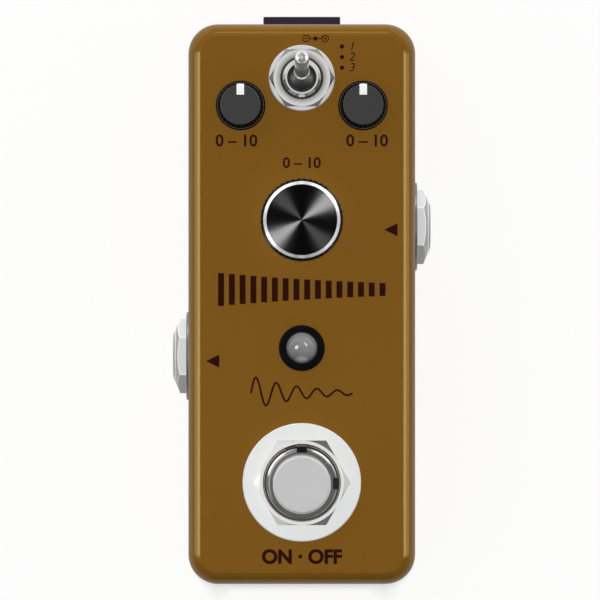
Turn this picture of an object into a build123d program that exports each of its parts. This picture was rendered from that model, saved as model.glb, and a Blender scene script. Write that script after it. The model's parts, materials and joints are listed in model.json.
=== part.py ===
from build123d import *
import os
from math import atan2, cos, degrees, pi, radians, sin, sqrt, tan

# Tape echo pedal: a mini floor effect in a die-cast box, drawn as the separate pieces it is built from.
# Frame: millimetres, +Z up, +Y towards the rear edge with the power socket, +X to the input jack.
# Origin: on the floor, under the middle of the box.

# Box
BODY_W = 38.0
BODY_L = 93.8
WALL = 2.5
ROOF = 2.5
CORNER_R = 5.0
TOP_EDGE_R = 2.9
TOP_CREASE_ANGLE = 18.0
POST_R = 3.2
POST_INSET = 4.8

# Base plate, its screws and the rubber pad under it
PLATE_T = 2.0
PLATE_INSET = 0.2
PLATE_EDGE = 0.3
PAD_T = 1.5
PAD_SIDE_INSET = 4.0
PAD_SCREW_GAP = 3.0
PAD_CORNER_R = 3.0
PAD_EDGE = 0.4
SCREW_D = 2.9
SCREW_HEAD_D = 5.2
SCREW_HEAD_LIP = 0.2
SCREW_GRIP = 7.0
SCREW_HOLE_EXTRA = 1.5
CROSS_W = 0.8
CROSS_L = 2.8
CROSS_DEPTH = 0.9

# Clearances
PRESS_FIT = 0.02
RUN_FIT = 0.06
THREAD_FIT = 0.05
PANEL_FIT = 0.15
BLOCK_FIT = 0.2
NEAR = 0.4

# Circuit boards and the pins that go through them
BOARD_T = 1.6
BOARD_GAP = 0.6
PIN_W = 0.7
PIN_HOLE_FIT = 0.15
PIN_PROUD = 1.0
PIN_SHORT = 0.1
BLADE_T = 0.6
BLADE_W = 1.4

# Toggle switch, its lever leaning to the rear position
TOGGLE_BODY_W = 7.9
TOGGLE_BODY_L = 11.6
TOGGLE_BODY_H = 8.7
TOGGLE_WALL_GAP = 0.8
TOGGLE_FRAME_T = 0.7
TOGGLE_STRAP_W = 5.0
TOGGLE_STRAP_T = 0.4
TOGGLE_STRAP_DROP = 6.5
TOGGLE_LOCK_T = 0.5
TOGGLE_LOCK_D = 9.6
TOGGLE_WASHER_D = 11.05
TOGGLE_WASHER_T = 0.6
TOGGLE_NUT_FLATS = 9.5
TOGGLE_NUT_H = 2.0
TOGGLE_CROWN_ANGLE = 34.0
TOGGLE_BUSH_D = 6.35
TOGGLE_BUSH_EDGE = 0.45
TOGGLE_BUSH_PROUD = 4.0
TOGGLE_MOUTH_D = 4.9
TOGGLE_MOUTH_DEPTH = 1.8
TOGGLE_THROAT_D = 3.9
TOGGLE_THROAT_LAND = 0.3
TOGGLE_BALL_D = 4.4
TOGGLE_BALL_FIT = 0.12
TOGGLE_LEAN = 13.0
TOGGLE_KEY_W = 1.1
TOGGLE_KEY_DEPTH = 0.45
LEVER_L = 13.3
LEVER_D = 2.4
LEVER_COLLAR_D = 2.7
LEVER_COLLAR_L = 4.2
LEVER_STUB_L = 5.6
LEVER_STUB_D = 1.6
TOGGLE_SLOT_L = 5.2
TOGGLE_SLOT_W = 2.6
TOGGLE_SLOT_DEPTH = 3.0
TOGGLE_PIN_PITCH = 4.0

# Potentiometers, their shafts and knobs
POT_SIZE = 9.6
POT_H = 6.6
POT_EDGE = 0.6
POT_COLLAR_H = 1.0
POT_COLLAR_WALL = 1.0
POT_FLOOR = 1.2
POT_PIN_PITCH = 2.5
POT_PIN_INSET = 1.3
SHAFT_HOLE_FIT = 0.5
SHAFT_SLOT_W = 0.8
SHAFT_SLOT_DEPTH = 3.0
KNOB_LIFT = 0.6
SMALL_KNOB_DROP = 4.6
SMALL_SHAFT_D = 4.0
SMALL_SKIRT_D = 8.3
SMALL_SKIRT_H = 0.9
SMALL_GRIP_D = 7.4
SMALL_GRIP_TOP_D = 6.95
SMALL_FACE_D = 6.5
SMALL_KNOB_H = 6.5
SMALL_EDGE_H = 0.25
SMALL_BORE_DEPTH = 4.6
SMALL_FLUTES = 28
SMALL_FLUTE_DEPTH = 0.2
SMALL_FLUTE_FOOT = 0.3
POINTER_W = 1.24
POINTER_FROM_AXIS = 1.65
POINTER_DROP = 1.2
POINTER_DEPTH = 0.6
TIME_Y = 14.0
TIME_SHAFT_D = 6.0
TIME_KNOB_D = 13.7
TIME_KNOB_H = 11.0
TIME_SHOULDER_D = 12.85
TIME_SHOULDER_H = 0.4
TIME_FACE_D = 11.6
TIME_BEVEL_H = 0.6
TIME_FOOT_EDGE = 0.4
TIME_KNURLS = 44
TIME_KNURL_DEPTH = 0.28
TIME_CORE_D = 8.8
TIME_CORE_H = 8.0

# Indicator lamp in its bezel
LED_Y = -7.35
LED_D = 5.3
LED_FLANGE_D = 5.8
LED_FLANGE_H = 1.0
LED_H = 8.6
LED_PROUD = 1.9
BEZEL_D = 7.7
BEZEL_H = 1.2
BEZEL_EDGE = 0.5
BEZEL_SLEEVE_D = 6.3
LED_LEAD_T = 0.5
LED_LEAD_PITCH = 2.54
LED_POST_H = 4.2
LED_ANVIL_W = 1.5

# Footswitch
FOOT_FROM_FRONT = 17.1
FOOT_BODY_SIZE = 17.5
FOOT_BODY_H = 13.6
FOOT_BODY_EDGE = 0.8
FOOT_FRAME_T = 0.8
FOOT_BUSH_D = 12.5
FOOT_BUSH_PROUD = 9.0
FOOT_BUSH_EDGE_R = 1.25
FOOT_KEY_W = 1.7
FOOT_KEY_DEPTH = 1.1
FOOT_NOTCH_W = 1.9
FOOT_NOTCH_DEPTH = 1.05
FOOT_NOTCH_SINK = 0.8
FOOT_WASHER_D = 19.8
FOOT_WASHER_T = 1.0
FOOT_NUT_FLATS = 14.1
FOOT_NUT_H = 2.6
FOOT_CROWN_ANGLE = 22.0
FOOT_INNER_NUT_H = 2.4
FOOT_LOCK_D = 16.0
FOOT_LOCK_T = 0.6
FOOT_NUT_AIR = 0.2
BUTTON_D = 9.6
BUTTON_FIT = 0.08
BUTTON_PROUD = 9.0
BUTTON_EDGE = 0.35
BUTTON_TRAVEL = 2.6
BUTTON_FLANGE_D = 11.4
BUTTON_FLANGE_H = 1.5
BUTTON_STOP_AIR = 0.1
CHAMBER_D = 12.4
SPRING_PRESSED_H = 5.3
SPRING_WIRE_D = 0.8
SPRING_D = 8.4
SPRING_QUARTER_TURNS = 16
SPRING_END_AIR = 0.05
LUG_PITCH_X = 4.8
LUG_PITCH_Y = 5.0
SWITCH_BOARD_W = 26.0

# Pin header between the two boards
HEADER_W = 2.5
HEADER_PITCH = 2.54
HEADER_PINS = 6

# Quarter-inch jacks, output on the left wall and input further back on the right wall, placed by how the
# free length between the footswitch and the power socket is shared out
HEADER_SHARE = 0.14
JACKS_SHARE = 0.41
JACK_BODY_L = 24.0
JACK_BODY_W = 14.0
JACK_BODY_H = 13.0
JACK_BODY_EDGE = 0.8
JACK_FLOOR_AIR = 2.1
JACK_BORE_D = 6.5
JACK_CASE_BORE_D = 6.9
JACK_BUSH_D = 9.0
JACK_BUSH_SEAT = 4.0
JACK_WASHER_D = 15.0
JACK_WASHER_T = 0.6
JACK_NUT_FLATS = 11.0
JACK_NUT_FLAT_H = 1.43
JACK_CROWN_ANGLE = 23.5
JACK_NOSE_D = 7.2
JACK_MOUTH_EDGE = 0.25
CONTACT_T = 0.4
CONTACT_W = 2.4
CONTACT_SLOT_FIT = 0.3
TIP_SLOT_FROM_END = 2.0
TIP_SLOT_L = 11.0
SLEEVE_SLOT_FROM_FRONT = 6.0
SLEEVE_SLOT_L = 3.0

# Power socket in the rear wall
POWER_W = 13.0
POWER_H = 11.0
POWER_PROUD = 1.72
POWER_DEPTH = 10.5
POWER_SHOULDER = 0.6
POWER_EDGE = 0.15
POWER_BORE_D = 6.2
POWER_BORE_DEPTH = 9.5
POWER_PIN_D = 2.1
POWER_PIN_SET_BACK = 0.5
POWER_PIN_ROOT = 2.5
POWER_PIN_ROOT_D = 1.6
POWER_TERMINAL_X = 5.0
POWER_TERMINAL_Y = 1.6

# Parts soldered to the main board
CAPACITOR_D = 5.0
CAPACITOR_H = 7.0
CAPACITOR_PITCH = 7.0
CAPACITORS = 4
CAPACITOR_EDGE = 0.4
CHIP_L = 9.8
CHIP_W = 6.2
CHIP_H = 2.2
CHIP_EDGE = 0.4
CHIP_X = 8.0

# Nuts, washers and knurls
HEX_ANGLE = 30.0
WASHER_EDGE = 0.15
KNURL_ANGLE = 45.0

# Levels: the box is as high as what is stacked in it, from a jack's case to the roof
plate_z = PAD_T
rim_z = plate_z + PLATE_T
under_pins_z = rim_z + JACK_FLOOR_AIR + JACK_BODY_H
board_z = under_pins_z + NEAR + PIN_PROUD
board_top_z = board_z + BOARD_T
toggle_body_z = board_top_z + TOGGLE_BODY_H
toggle_frame_z = toggle_body_z + TOGGLE_FRAME_T
ceiling_z = toggle_frame_z + TOGGLE_LOCK_T
top_z = ceiling_z + ROOF
jack_z = under_pins_z - JACK_BODY_H / 2
power_z = under_pins_z - POWER_H / 2
knob_z = top_z + KNOB_LIFT
bush_top_z = top_z + TOGGLE_BUSH_PROUD
foot_bush_top_z = top_z + FOOT_BUSH_PROUD
foot_frame_z = ceiling_z - FOOT_LOCK_T - FOOT_INNER_NUT_H - FOOT_NUT_AIR
foot_body_z = foot_frame_z - FOOT_FRAME_T
foot_floor_z = foot_body_z - FOOT_BODY_H
switch_board_z = foot_floor_z - BOARD_T
flange_z = foot_body_z - BUTTON_STOP_AIR
chamber_z = flange_z - BUTTON_FLANGE_H - BUTTON_TRAVEL - SPRING_PRESSED_H
led_base_z = top_z + BEZEL_H + LED_PROUD - LED_H

# Places in plan
wall_x = BODY_W / 2 - WALL
wall_y = BODY_L / 2 - WALL
post_x = BODY_W / 2 - POST_INSET
post_y = BODY_L / 2 - POST_INSET
toggle_y = wall_y - TOGGLE_WALL_GAP - TOGGLE_BODY_L / 2
toggle_side_x = TOGGLE_BODY_W / 2
small_x = (toggle_side_x + wall_x) / 2
small_y = toggle_y - SMALL_KNOB_DROP
power_back_y = wall_y - POWER_DEPTH
foot_y = -BODY_L / 2 + FOOT_FROM_FRONT
foot_rear_y = foot_y + FOOT_BODY_SIZE / 2
free_l = power_back_y - foot_rear_y - HEADER_W - 2 * JACK_BODY_W - CAPACITOR_D
output_front_y = foot_rear_y + HEADER_W + HEADER_SHARE * free_l
output_y = output_front_y + JACK_BODY_W / 2
input_y = output_y + JACK_BODY_W + JACKS_SHARE * free_l
header_y = (foot_rear_y + output_front_y) / 2
board_front_y = foot_rear_y + BOARD_GAP
switch_board_rear_y = (header_y + HEADER_W / 2 + output_front_y) / 2
post_places = [Pos(sx * post_x, sy * post_y) for sx in (-1, 1) for sy in (-1, 1)]
level_place = Pos(-small_x, small_y)
regen_place = Pos(small_x, small_y)
time_place = Pos(0, TIME_Y)
toggle_place = Pos(0, toggle_y)
led_place = Pos(0, LED_Y)
foot_place = Pos(0, foot_y)
input_place = Pos(BODY_W / 2, input_y, jack_z)
output_place = Pos(-BODY_W / 2, output_y, jack_z) * Rot(0, 0, 180)
power_place = Pos(0, BODY_L / 2, power_z)

# Pivot of the toggle lever: the ball hangs just under the throat of the bush
ball_r = TOGGLE_BALL_D / 2
throat_r = TOGGLE_THROAT_D / 2
throat_z = bush_top_z - TOGGLE_MOUTH_DEPTH - TOGGLE_THROAT_LAND
pivot_z = throat_z - sqrt(ball_r**2 - throat_r**2) - TOGGLE_BALL_FIT

ON_BASE = (Align.CENTER, Align.CENTER, Align.MIN)


def turned(*points):
    """Solid of revolution about Z through (radius, height) points."""
    return revolve(Plane.XZ * make_face(Polyline(*points, close=True)), Axis.Z)


def column(radius, low, high):
    return Pos(0, 0, low) * Cylinder(radius, high - low, align=ON_BASE)


def ring(outer_d, inner_d, low, high):
    outer, inner = outer_d / 2, inner_d / 2
    return turned((inner, low), (outer, low), (outer, high), (inner, high))


def washer(outer_d, inner_d, low, high):
    """Flat ring, its upper outer edge rounded off by the stamping."""
    outer, inner, edge = outer_d / 2, inner_d / 2, WASHER_EDGE
    return turned((inner, low), (outer, low), (outer, high - edge), (outer - edge, high), (inner, high))


def block(width, length, low, high):
    return Pos(0, 0, low) * Box(width, length, high - low, align=ON_BASE)


def slab(width, length, corner, low, high):
    """Plate with rounded corners."""
    return Pos(0, 0, low) * extrude(RectangleRounded(width, length, corner), high - low)


def upright_edges(part):
    return part.edges().filter_by(Axis.Z)


def top_edges(part):
    return part.faces().sort_by(Axis.Z)[-1].edges()


def bottom_edges(part):
    return part.faces().sort_by(Axis.Z)[0].edges()


def hex_nut(flats, height, bore_d, crown_angle):
    """Hexagon nut standing on z = 0, its top corners turned down to a cone and its bore countersunk."""
    flat_r, bore_r = flats / 2, bore_d / 2
    corner_r = flat_r / cos(radians(HEX_ANGLE))
    drop = (corner_r - flat_r) * tan(radians(crown_angle))
    sink = (flat_r - bore_r) / 4
    crown = turned(
        (bore_r, 0), (corner_r, 0), (corner_r, height - drop), (flat_r, height),
        (bore_r + sink, height), (bore_r, height - sink),
    )
    return extrude(RegularPolygon(flat_r, 6, major_radius=False), height) & crown


# Box and base


def enclosure():
    """Die-cast shell, open below: rounded edges that meet the flat top in a crease, four screw posts,
    and every hole the parts come through."""
    crown = TOP_EDGE_R * (1 - cos(radians(TOP_CREASE_ANGLE)))
    shell = fillet(top_edges(slab(BODY_W, BODY_L, CORNER_R, rim_z, top_z + crown)), TOP_EDGE_R)
    shell -= block(BODY_W, BODY_L, top_z, top_z + TOP_EDGE_R)
    shell -= slab(2 * wall_x, 2 * wall_y, CORNER_R - WALL, rim_z, ceiling_z)
    for place in post_places:
        shell += place * column(POST_R, rim_z, ceiling_z)
    screw_top_z = rim_z + SCREW_GRIP + SCREW_HOLE_EXTRA
    holes = [place * column(SCREW_D / 2 + THREAD_FIT, rim_z, screw_top_z) for place in post_places]
    roof_holes = (
        (toggle_place, TOGGLE_BUSH_D / 2 + PANEL_FIT),
        (level_place, SMALL_SHAFT_D / 2 + SHAFT_HOLE_FIT),
        (regen_place, SMALL_SHAFT_D / 2 + SHAFT_HOLE_FIT),
        (time_place, TIME_SHAFT_D / 2 + SHAFT_HOLE_FIT),
        (led_place, BEZEL_SLEEVE_D / 2 + PANEL_FIT),
        (foot_place, FOOT_BUSH_D / 2 + PANEL_FIT),
    )
    holes += [place * column(radius, ceiling_z - ROOF, top_z + ROOF) for place, radius in roof_holes]
    jack_hole = Rot(0, 90, 0) * Cylinder(JACK_BUSH_D / 2 + PANEL_FIT, 3 * WALL)
    holes += [input_place * jack_hole, output_place * jack_hole]
    holes.append(power_place * Box(POWER_W + 2 * BLOCK_FIT, 3 * WALL, POWER_H + 2 * BLOCK_FIT))
    return shell - holes


def base_plate():
    inset = 2 * PLATE_INSET
    plate = slab(BODY_W - inset, BODY_L - inset, CORNER_R - PLATE_INSET, plate_z, rim_z)
    plate = chamfer(bottom_edges(plate), PLATE_EDGE)
    return plate - [place * screw_envelope(BLOCK_FIT) for place in post_places]


def screw_envelope(extra):
    """Countersunk screw without its cross, grown sideways by a clearance."""
    head_r, shank_r = SCREW_HEAD_D / 2, SCREW_D / 2
    neck_z = plate_z + SCREW_HEAD_LIP + head_r - shank_r
    return turned(
        (0, plate_z), (head_r + extra, plate_z), (head_r + extra, plate_z + SCREW_HEAD_LIP),
        (shank_r + extra, neck_z), (shank_r + extra, rim_z + SCREW_GRIP), (0, rim_z + SCREW_GRIP),
    )


def base_screws():
    bar = block(CROSS_L, CROSS_W, plate_z, plate_z + CROSS_DEPTH)
    screw = screw_envelope(0) - [bar, Rot(0, 0, 90) * bar]
    return [place * screw for place in post_places]


def base_pad():
    length = 2 * (post_y - SCREW_HEAD_D / 2 - PAD_SCREW_GAP)
    pad = slab(BODY_W - 2 * PAD_SIDE_INSET, length, PAD_CORNER_R, 0, PAD_T)
    return chamfer(bottom_edges(pad), PAD_EDGE)


# Circuit boards

pot_pin_y = POT_SIZE / 2 - POT_PIN_INSET
pot_pins = [Pos(n * POT_PIN_PITCH, pot_pin_y) for n in (-1, 0, 1)]
toggle_pins = [Pos(0, n * TOGGLE_PIN_PITCH) for n in (-1, 0, 1)]
led_pins = [Pos(n * LED_LEAD_PITCH / 2, 0) for n in (-1, 1)]
header_pins = [Pos((n - (HEADER_PINS - 1) / 2) * HEADER_PITCH, header_y) for n in range(HEADER_PINS)]
foot_lugs = [Pos(i * LUG_PITCH_X, j * LUG_PITCH_Y) for i in (-1, 0, 1) for j in (-1, 0, 1)]
power_pin_y = -WALL - POWER_DEPTH + POWER_TERMINAL_Y
power_pins = [Pos(n * POWER_TERMINAL_X, power_pin_y) for n in (-1, 1)]
tip_pin_x = -WALL - JACK_BODY_L + TIP_SLOT_FROM_END + CONTACT_T
sleeve_pin_x = -WALL - SLEEVE_SLOT_FROM_FRONT - CONTACT_T


def pin_slot(width, length, low):
    """Slot through a board for a pin of that section."""
    return block(width + 2 * PIN_HOLE_FIT, length + 2 * PIN_HOLE_FIT, low, low + BOARD_T)


def main_board():
    """Board under the controls, notched round the rear posts, with a hole for every pin."""
    width, rear_y = 2 * (wall_x - BOARD_GAP), wall_y - BOARD_GAP
    length = rear_y - board_front_y
    board = Pos(0, (rear_y + board_front_y) / 2) * block(width, length, board_z, board_top_z)
    notch = column(POST_R + BOARD_GAP, board_z, board_top_z)
    corner = Pos(POST_R, POST_R) * block(2 * POST_R, 2 * POST_R, board_z, board_top_z)
    for side in (-1, 1):
        board -= Pos(side * post_x, post_y) * (notch + Rot(0, 0, 45 - side * 45) * corner)
    pin_hole = pin_slot(PIN_W, PIN_W, board_z)
    blade_hole = pin_slot(BLADE_T, BLADE_W, board_z)
    leaf_hole = pin_slot(CONTACT_T, CONTACT_W, board_z)
    pots = (time_place, level_place, regen_place)
    holes = [place * pin * pin_hole for place in pots for pin in pot_pins]
    holes += [toggle_place * pin * blade_hole for pin in toggle_pins]
    holes += [led_place * pin * pin_hole for pin in led_pins]
    holes += [pin * pin_hole for pin in header_pins]
    holes += [Pos(0, BODY_L / 2) * pin * pin_hole for pin in power_pins]
    for side, jack_y in ((1, input_y), (-1, output_y)):
        for pin_x in (tip_pin_x, sleeve_pin_x):
            holes.append(Pos(side * (BODY_W / 2 + pin_x), jack_y) * leaf_hole)
    return board - holes


def switch_board():
    """Small board under the footswitch, carried by its lugs."""
    front_y = foot_y - FOOT_BODY_SIZE / 2
    length = switch_board_rear_y - front_y
    middle = Pos(0, (switch_board_rear_y + front_y) / 2)
    board = middle * block(SWITCH_BOARD_W, length, switch_board_z, foot_floor_z)
    lug_hole = pin_slot(BLADE_W, BLADE_T, switch_board_z)
    pin_hole = pin_slot(PIN_W, PIN_W, switch_board_z)
    holes = [foot_place * lug * lug_hole for lug in foot_lugs]
    return board - holes - [pin * pin_hole for pin in header_pins]


def link_header():
    spacer = Pos(0, header_y) * block(HEADER_PINS * HEADER_PITCH, HEADER_W, foot_floor_z, board_z)
    bore_w = PIN_W + 2 * PRESS_FIT
    return spacer - [pin * block(bore_w, bore_w, foot_floor_z, board_z) for pin in header_pins]


def link_pins():
    pin = block(PIN_W, PIN_W, switch_board_z - PIN_PROUD, board_top_z + PIN_PROUD)
    return [place * pin for place in header_pins]


def echo_chips():
    """Delay and audio chips between the large knob and the lamp, with chamfered moulded edges."""
    body = chamfer(block(CHIP_L, CHIP_W, board_top_z, board_top_z + CHIP_H).edges(), CHIP_EDGE)
    row_y = (TIME_Y - POT_SIZE / 2 + LED_Y + LED_FLANGE_D / 2) / 2
    return [Pos(side * CHIP_X, row_y) * body for side in (-1, 1)]


def filter_capacitors():
    """Electrolytic cans hanging under the board between the input jack and the power socket."""
    row_y = (input_y + JACK_BODY_W / 2 + power_back_y) / 2
    can_r, low, edge = CAPACITOR_D / 2, board_z - CAPACITOR_H, CAPACITOR_EDGE
    can = turned((0, low), (can_r - edge, low), (can_r, low + edge), (can_r, board_z), (0, board_z))
    first_x = -(CAPACITORS - 1) / 2 * CAPACITOR_PITCH
    return [Pos(first_x + n * CAPACITOR_PITCH, row_y) * can for n in range(CAPACITORS)]


# Controls that turn


def pot_body(place, shaft_d):
    """Square potentiometer with a collar round its shaft."""
    pot_top_z = board_top_z + POT_H
    body = chamfer(upright_edges(block(POT_SIZE, POT_SIZE, board_top_z, pot_top_z)), POT_EDGE)
    body += column(shaft_d / 2 + POT_COLLAR_WALL, pot_top_z, pot_top_z + POT_COLLAR_H)
    bore = column(shaft_d / 2 + RUN_FIT, board_top_z + POT_FLOOR, pot_top_z + POT_COLLAR_H)
    return place * (body - bore)


def pot_shaft(place, shaft_d, top):
    """Shaft with the split end that springs into the knob."""
    shaft = column(shaft_d / 2, board_top_z + POT_FLOOR + RUN_FIT, top)
    split = block(SHAFT_SLOT_W, 2 * shaft_d, top - SHAFT_SLOT_DEPTH, top)
    return place * (shaft - split)


def pot_terminals():
    pin = block(PIN_W, PIN_W, board_z - PIN_PROUD, board_top_z)
    return [place * spot * pin for place in (time_place, level_place, regen_place) for spot in pot_pins]


def small_knob_profile(inset):
    """Grip outline above the skirt, moved inwards by inset."""
    grip_r, rim_r, face_r = SMALL_GRIP_D / 2, SMALL_GRIP_TOP_D / 2, SMALL_FACE_D / 2
    return turned(
        (0, SMALL_SKIRT_H), (grip_r - inset, SMALL_SKIRT_H),
        (rim_r - inset, SMALL_KNOB_H - SMALL_EDGE_H - inset),
        (face_r - inset, SMALL_KNOB_H - inset), (0, SMALL_KNOB_H - inset),
    )


def small_pointer():
    """White inlay that runs over the top edge of a small knob and a little way down its side."""
    layer = small_knob_profile(0) - small_knob_profile(POINTER_DEPTH)
    reach = (Align.CENTER, Align.MIN, Align.MIN)
    band = Box(POINTER_W, SMALL_SKIRT_D, SMALL_KNOB_H, align=reach)
    return layer & Pos(0, POINTER_FROM_AXIS, SMALL_KNOB_H - POINTER_DROP) * band


def small_knob():
    """Fluted plastic knob on a round skirt, with a slot for its pointer."""
    skirt_r, lip = SMALL_SKIRT_D / 2, SMALL_SKIRT_H / 4
    knob = small_knob_profile(0) + turned(
        (0, 0), (skirt_r, 0), (skirt_r, SMALL_SKIRT_H - lip),
        (skirt_r - lip, SMALL_SKIRT_H), (0, SMALL_SKIRT_H),
    )
    grip_r, rim_r = SMALL_GRIP_D / 2, SMALL_GRIP_TOP_D / 2
    side_h = SMALL_KNOB_H - SMALL_EDGE_H - SMALL_SKIRT_H
    lean = degrees(atan2(grip_r - rim_r, side_h))
    side_w = SMALL_FLUTE_DEPTH * sqrt(2)
    flute = Rot(0, 0, KNURL_ANGLE) * block(side_w, side_w, SMALL_FLUTE_FOOT, SMALL_KNOB_H)
    flute = Pos(0, grip_r, SMALL_SKIRT_H) * Rot(lean, 0, 0) * flute
    step = 360 / SMALL_FLUTES
    pointer_half = degrees(atan2(POINTER_W / 2, rim_r)) + step / 2
    turns = [(n + 0.5) * step for n in range(SMALL_FLUTES)]
    knob -= [Rot(0, 0, turn) * flute for turn in turns if pointer_half < turn < 360 - pointer_half]
    knob -= column(SMALL_SHAFT_D / 2 + PRESS_FIT, 0, SMALL_BORE_DEPTH)
    return knob - small_pointer()


def time_knob():
    """Turned metal knob: knurled side, a bevelled bright edge round a flat spun face, hollow below."""
    outer_r, shoulder_r, face_r = TIME_KNOB_D / 2, TIME_SHOULDER_D / 2, TIME_FACE_D / 2
    bevel_z = TIME_KNOB_H - TIME_BEVEL_H
    knob = turned(
        (0, 0), (outer_r - TIME_FOOT_EDGE, 0), (outer_r, TIME_FOOT_EDGE),
        (outer_r, bevel_z - TIME_SHOULDER_H), (shoulder_r, bevel_z),
        (face_r, TIME_KNOB_H), (0, TIME_KNOB_H),
    )
    groove_side = TIME_KNURL_DEPTH * sqrt(2)
    groove = Rot(0, 0, KNURL_ANGLE) * block(groove_side, groove_side, 2 * TIME_FOOT_EDGE, TIME_KNOB_H)
    groove = Pos(outer_r, 0) * groove
    knob -= [Rot(0, 0, n * 360 / TIME_KNURLS) * groove for n in range(TIME_KNURLS)]
    return knob - column(TIME_CORE_D / 2 + PRESS_FIT, 0, TIME_CORE_H)


def time_knob_core():
    """Plastic bush inside the metal knob that grips the shaft."""
    return ring(TIME_CORE_D, TIME_SHAFT_D + 2 * PRESS_FIT, 0, TIME_CORE_H)


# Toggle switch


def toggle_body():
    """Moulded case with a slot in which the foot of the lever swings."""
    width = TOGGLE_BODY_W - 2 * TOGGLE_STRAP_T
    body = block(width, TOGGLE_BODY_L, board_top_z, toggle_body_z)
    slot = block(TOGGLE_SLOT_W, TOGGLE_SLOT_L, toggle_body_z - TOGGLE_SLOT_DEPTH, toggle_body_z)
    return toggle_place * (chamfer(upright_edges(body), TOGGLE_STRAP_T) - slot)


def toggle_frame():
    """Steel frame in one piece with the bush: flared mouth, throat, and the ball's cavity below."""
    bush_r, mouth_r, cavity_r = TOGGLE_BUSH_D / 2, TOGGLE_MOUTH_D / 2, ball_r + TOGGLE_BALL_FIT
    mouth_z = bush_top_z - TOGGLE_MOUTH_DEPTH
    frame = block(TOGGLE_BODY_W, TOGGLE_BODY_L, toggle_body_z, toggle_frame_z)
    strap = block(TOGGLE_STRAP_T, TOGGLE_STRAP_W, toggle_body_z - TOGGLE_STRAP_DROP, toggle_body_z)
    strap_x = (TOGGLE_BODY_W - TOGGLE_STRAP_T) / 2
    frame += [Pos(side * strap_x) * strap for side in (-1, 1)]
    frame += turned(
        (0, toggle_body_z), (bush_r, toggle_body_z), (bush_r, bush_top_z - TOGGLE_BUSH_EDGE),
        (bush_r - TOGGLE_BUSH_EDGE, bush_top_z), (0, bush_top_z),
    )
    passage = turned(
        (0, toggle_body_z), (cavity_r, toggle_body_z), (cavity_r, throat_z), (throat_r, throat_z),
        (throat_r, mouth_z), (mouth_r, bush_top_z), (0, bush_top_z),
    )
    key_y = -bush_r + TOGGLE_KEY_DEPTH / 2
    keyway = Pos(0, key_y) * block(TOGGLE_KEY_W, TOGGLE_KEY_DEPTH, toggle_frame_z, bush_top_z)
    return toggle_place * (frame - [passage, keyway])


def toggle_lever():
    """Round-ended lever with a collar, its pivot ball and its foot, leaning to the rear."""
    lever = column(LEVER_D / 2, 0, LEVER_L) + Pos(0, 0, LEVER_L) * Sphere(LEVER_D / 2)
    lever += column(LEVER_COLLAR_D / 2, 0, LEVER_COLLAR_L)
    lever += Sphere(ball_r) + column(LEVER_STUB_D / 2, -LEVER_STUB_L, 0)
    return toggle_place * Pos(0, 0, pivot_z) * Rot(-TOGGLE_LEAN, 0, 0) * lever


def toggle_nut():
    bore = TOGGLE_BUSH_D + 2 * THREAD_FIT
    nut = hex_nut(TOGGLE_NUT_FLATS, TOGGLE_NUT_H, bore, TOGGLE_CROWN_ANGLE)
    return toggle_place * Pos(0, 0, top_z + TOGGLE_WASHER_T) * nut


def toggle_washer():
    bore = TOGGLE_BUSH_D + 2 * PANEL_FIT
    return toggle_place * washer(TOGGLE_WASHER_D, bore, top_z, top_z + TOGGLE_WASHER_T)


def toggle_lock_washer():
    return toggle_place * ring(TOGGLE_LOCK_D, TOGGLE_BUSH_D + 2 * PANEL_FIT, toggle_frame_z, ceiling_z)


def toggle_terminals():
    blade = block(BLADE_T, BLADE_W, board_z - PIN_PROUD, board_top_z)
    return [toggle_place * spot * blade for spot in toggle_pins]


# Indicator lamp


def led_lead(anvil):
    """One leg of the lamp, with its post or its wider anvil inside the lens."""
    leg = block(LED_LEAD_T, LED_LEAD_T, board_z - PIN_PROUD, led_base_z + LED_POST_H)
    if not anvil:
        return leg
    head_z = led_base_z + LED_POST_H / 2
    head = block(LED_ANVIL_W, LED_ANVIL_W, head_z, led_base_z + LED_POST_H)
    return leg + Pos(-LED_ANVIL_W / 2) * head


def led_leads():
    return [led_place * led_pins[0] * led_lead(False), led_place * led_pins[1] * led_lead(True)]


def led_lens():
    """Clear round-topped lamp with a flange at its foot, moulded round the leads."""
    lens_r = LED_D / 2
    lens = column(lens_r, led_base_z, led_base_z + LED_H - lens_r)
    lens += Pos(0, 0, led_base_z + LED_H - lens_r) * Sphere(lens_r)
    lens += column(LED_FLANGE_D / 2, led_base_z, led_base_z + LED_FLANGE_H)
    return led_place * lens - led_leads()


def led_bezel():
    """Black collar: a bevelled rim on the panel and a sleeve through it, down to the lamp's flange."""
    bore_r, sleeve_r, rim_r = LED_D / 2 + PANEL_FIT, BEZEL_SLEEVE_D / 2, BEZEL_D / 2
    low, high, edge = led_base_z + LED_FLANGE_H + RUN_FIT, top_z + BEZEL_H, BEZEL_EDGE
    return led_place * turned(
        (bore_r, low), (sleeve_r, low), (sleeve_r, top_z), (rim_r, top_z), (rim_r, high - edge),
        (rim_r - edge / 3, high - edge / 3), (rim_r - edge, high), (bore_r, high),
    )


# Footswitch


def foot_square(low, high):
    square = block(FOOT_BODY_SIZE, FOOT_BODY_SIZE, low, high)
    return chamfer(upright_edges(square), FOOT_BODY_EDGE)


def footswitch_body():
    """Moulded case with the round chamber in which the plunger and its spring work."""
    body = foot_square(foot_floor_z, foot_body_z)
    return foot_place * (body - column(CHAMBER_D / 2, chamber_z, foot_body_z))


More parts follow.
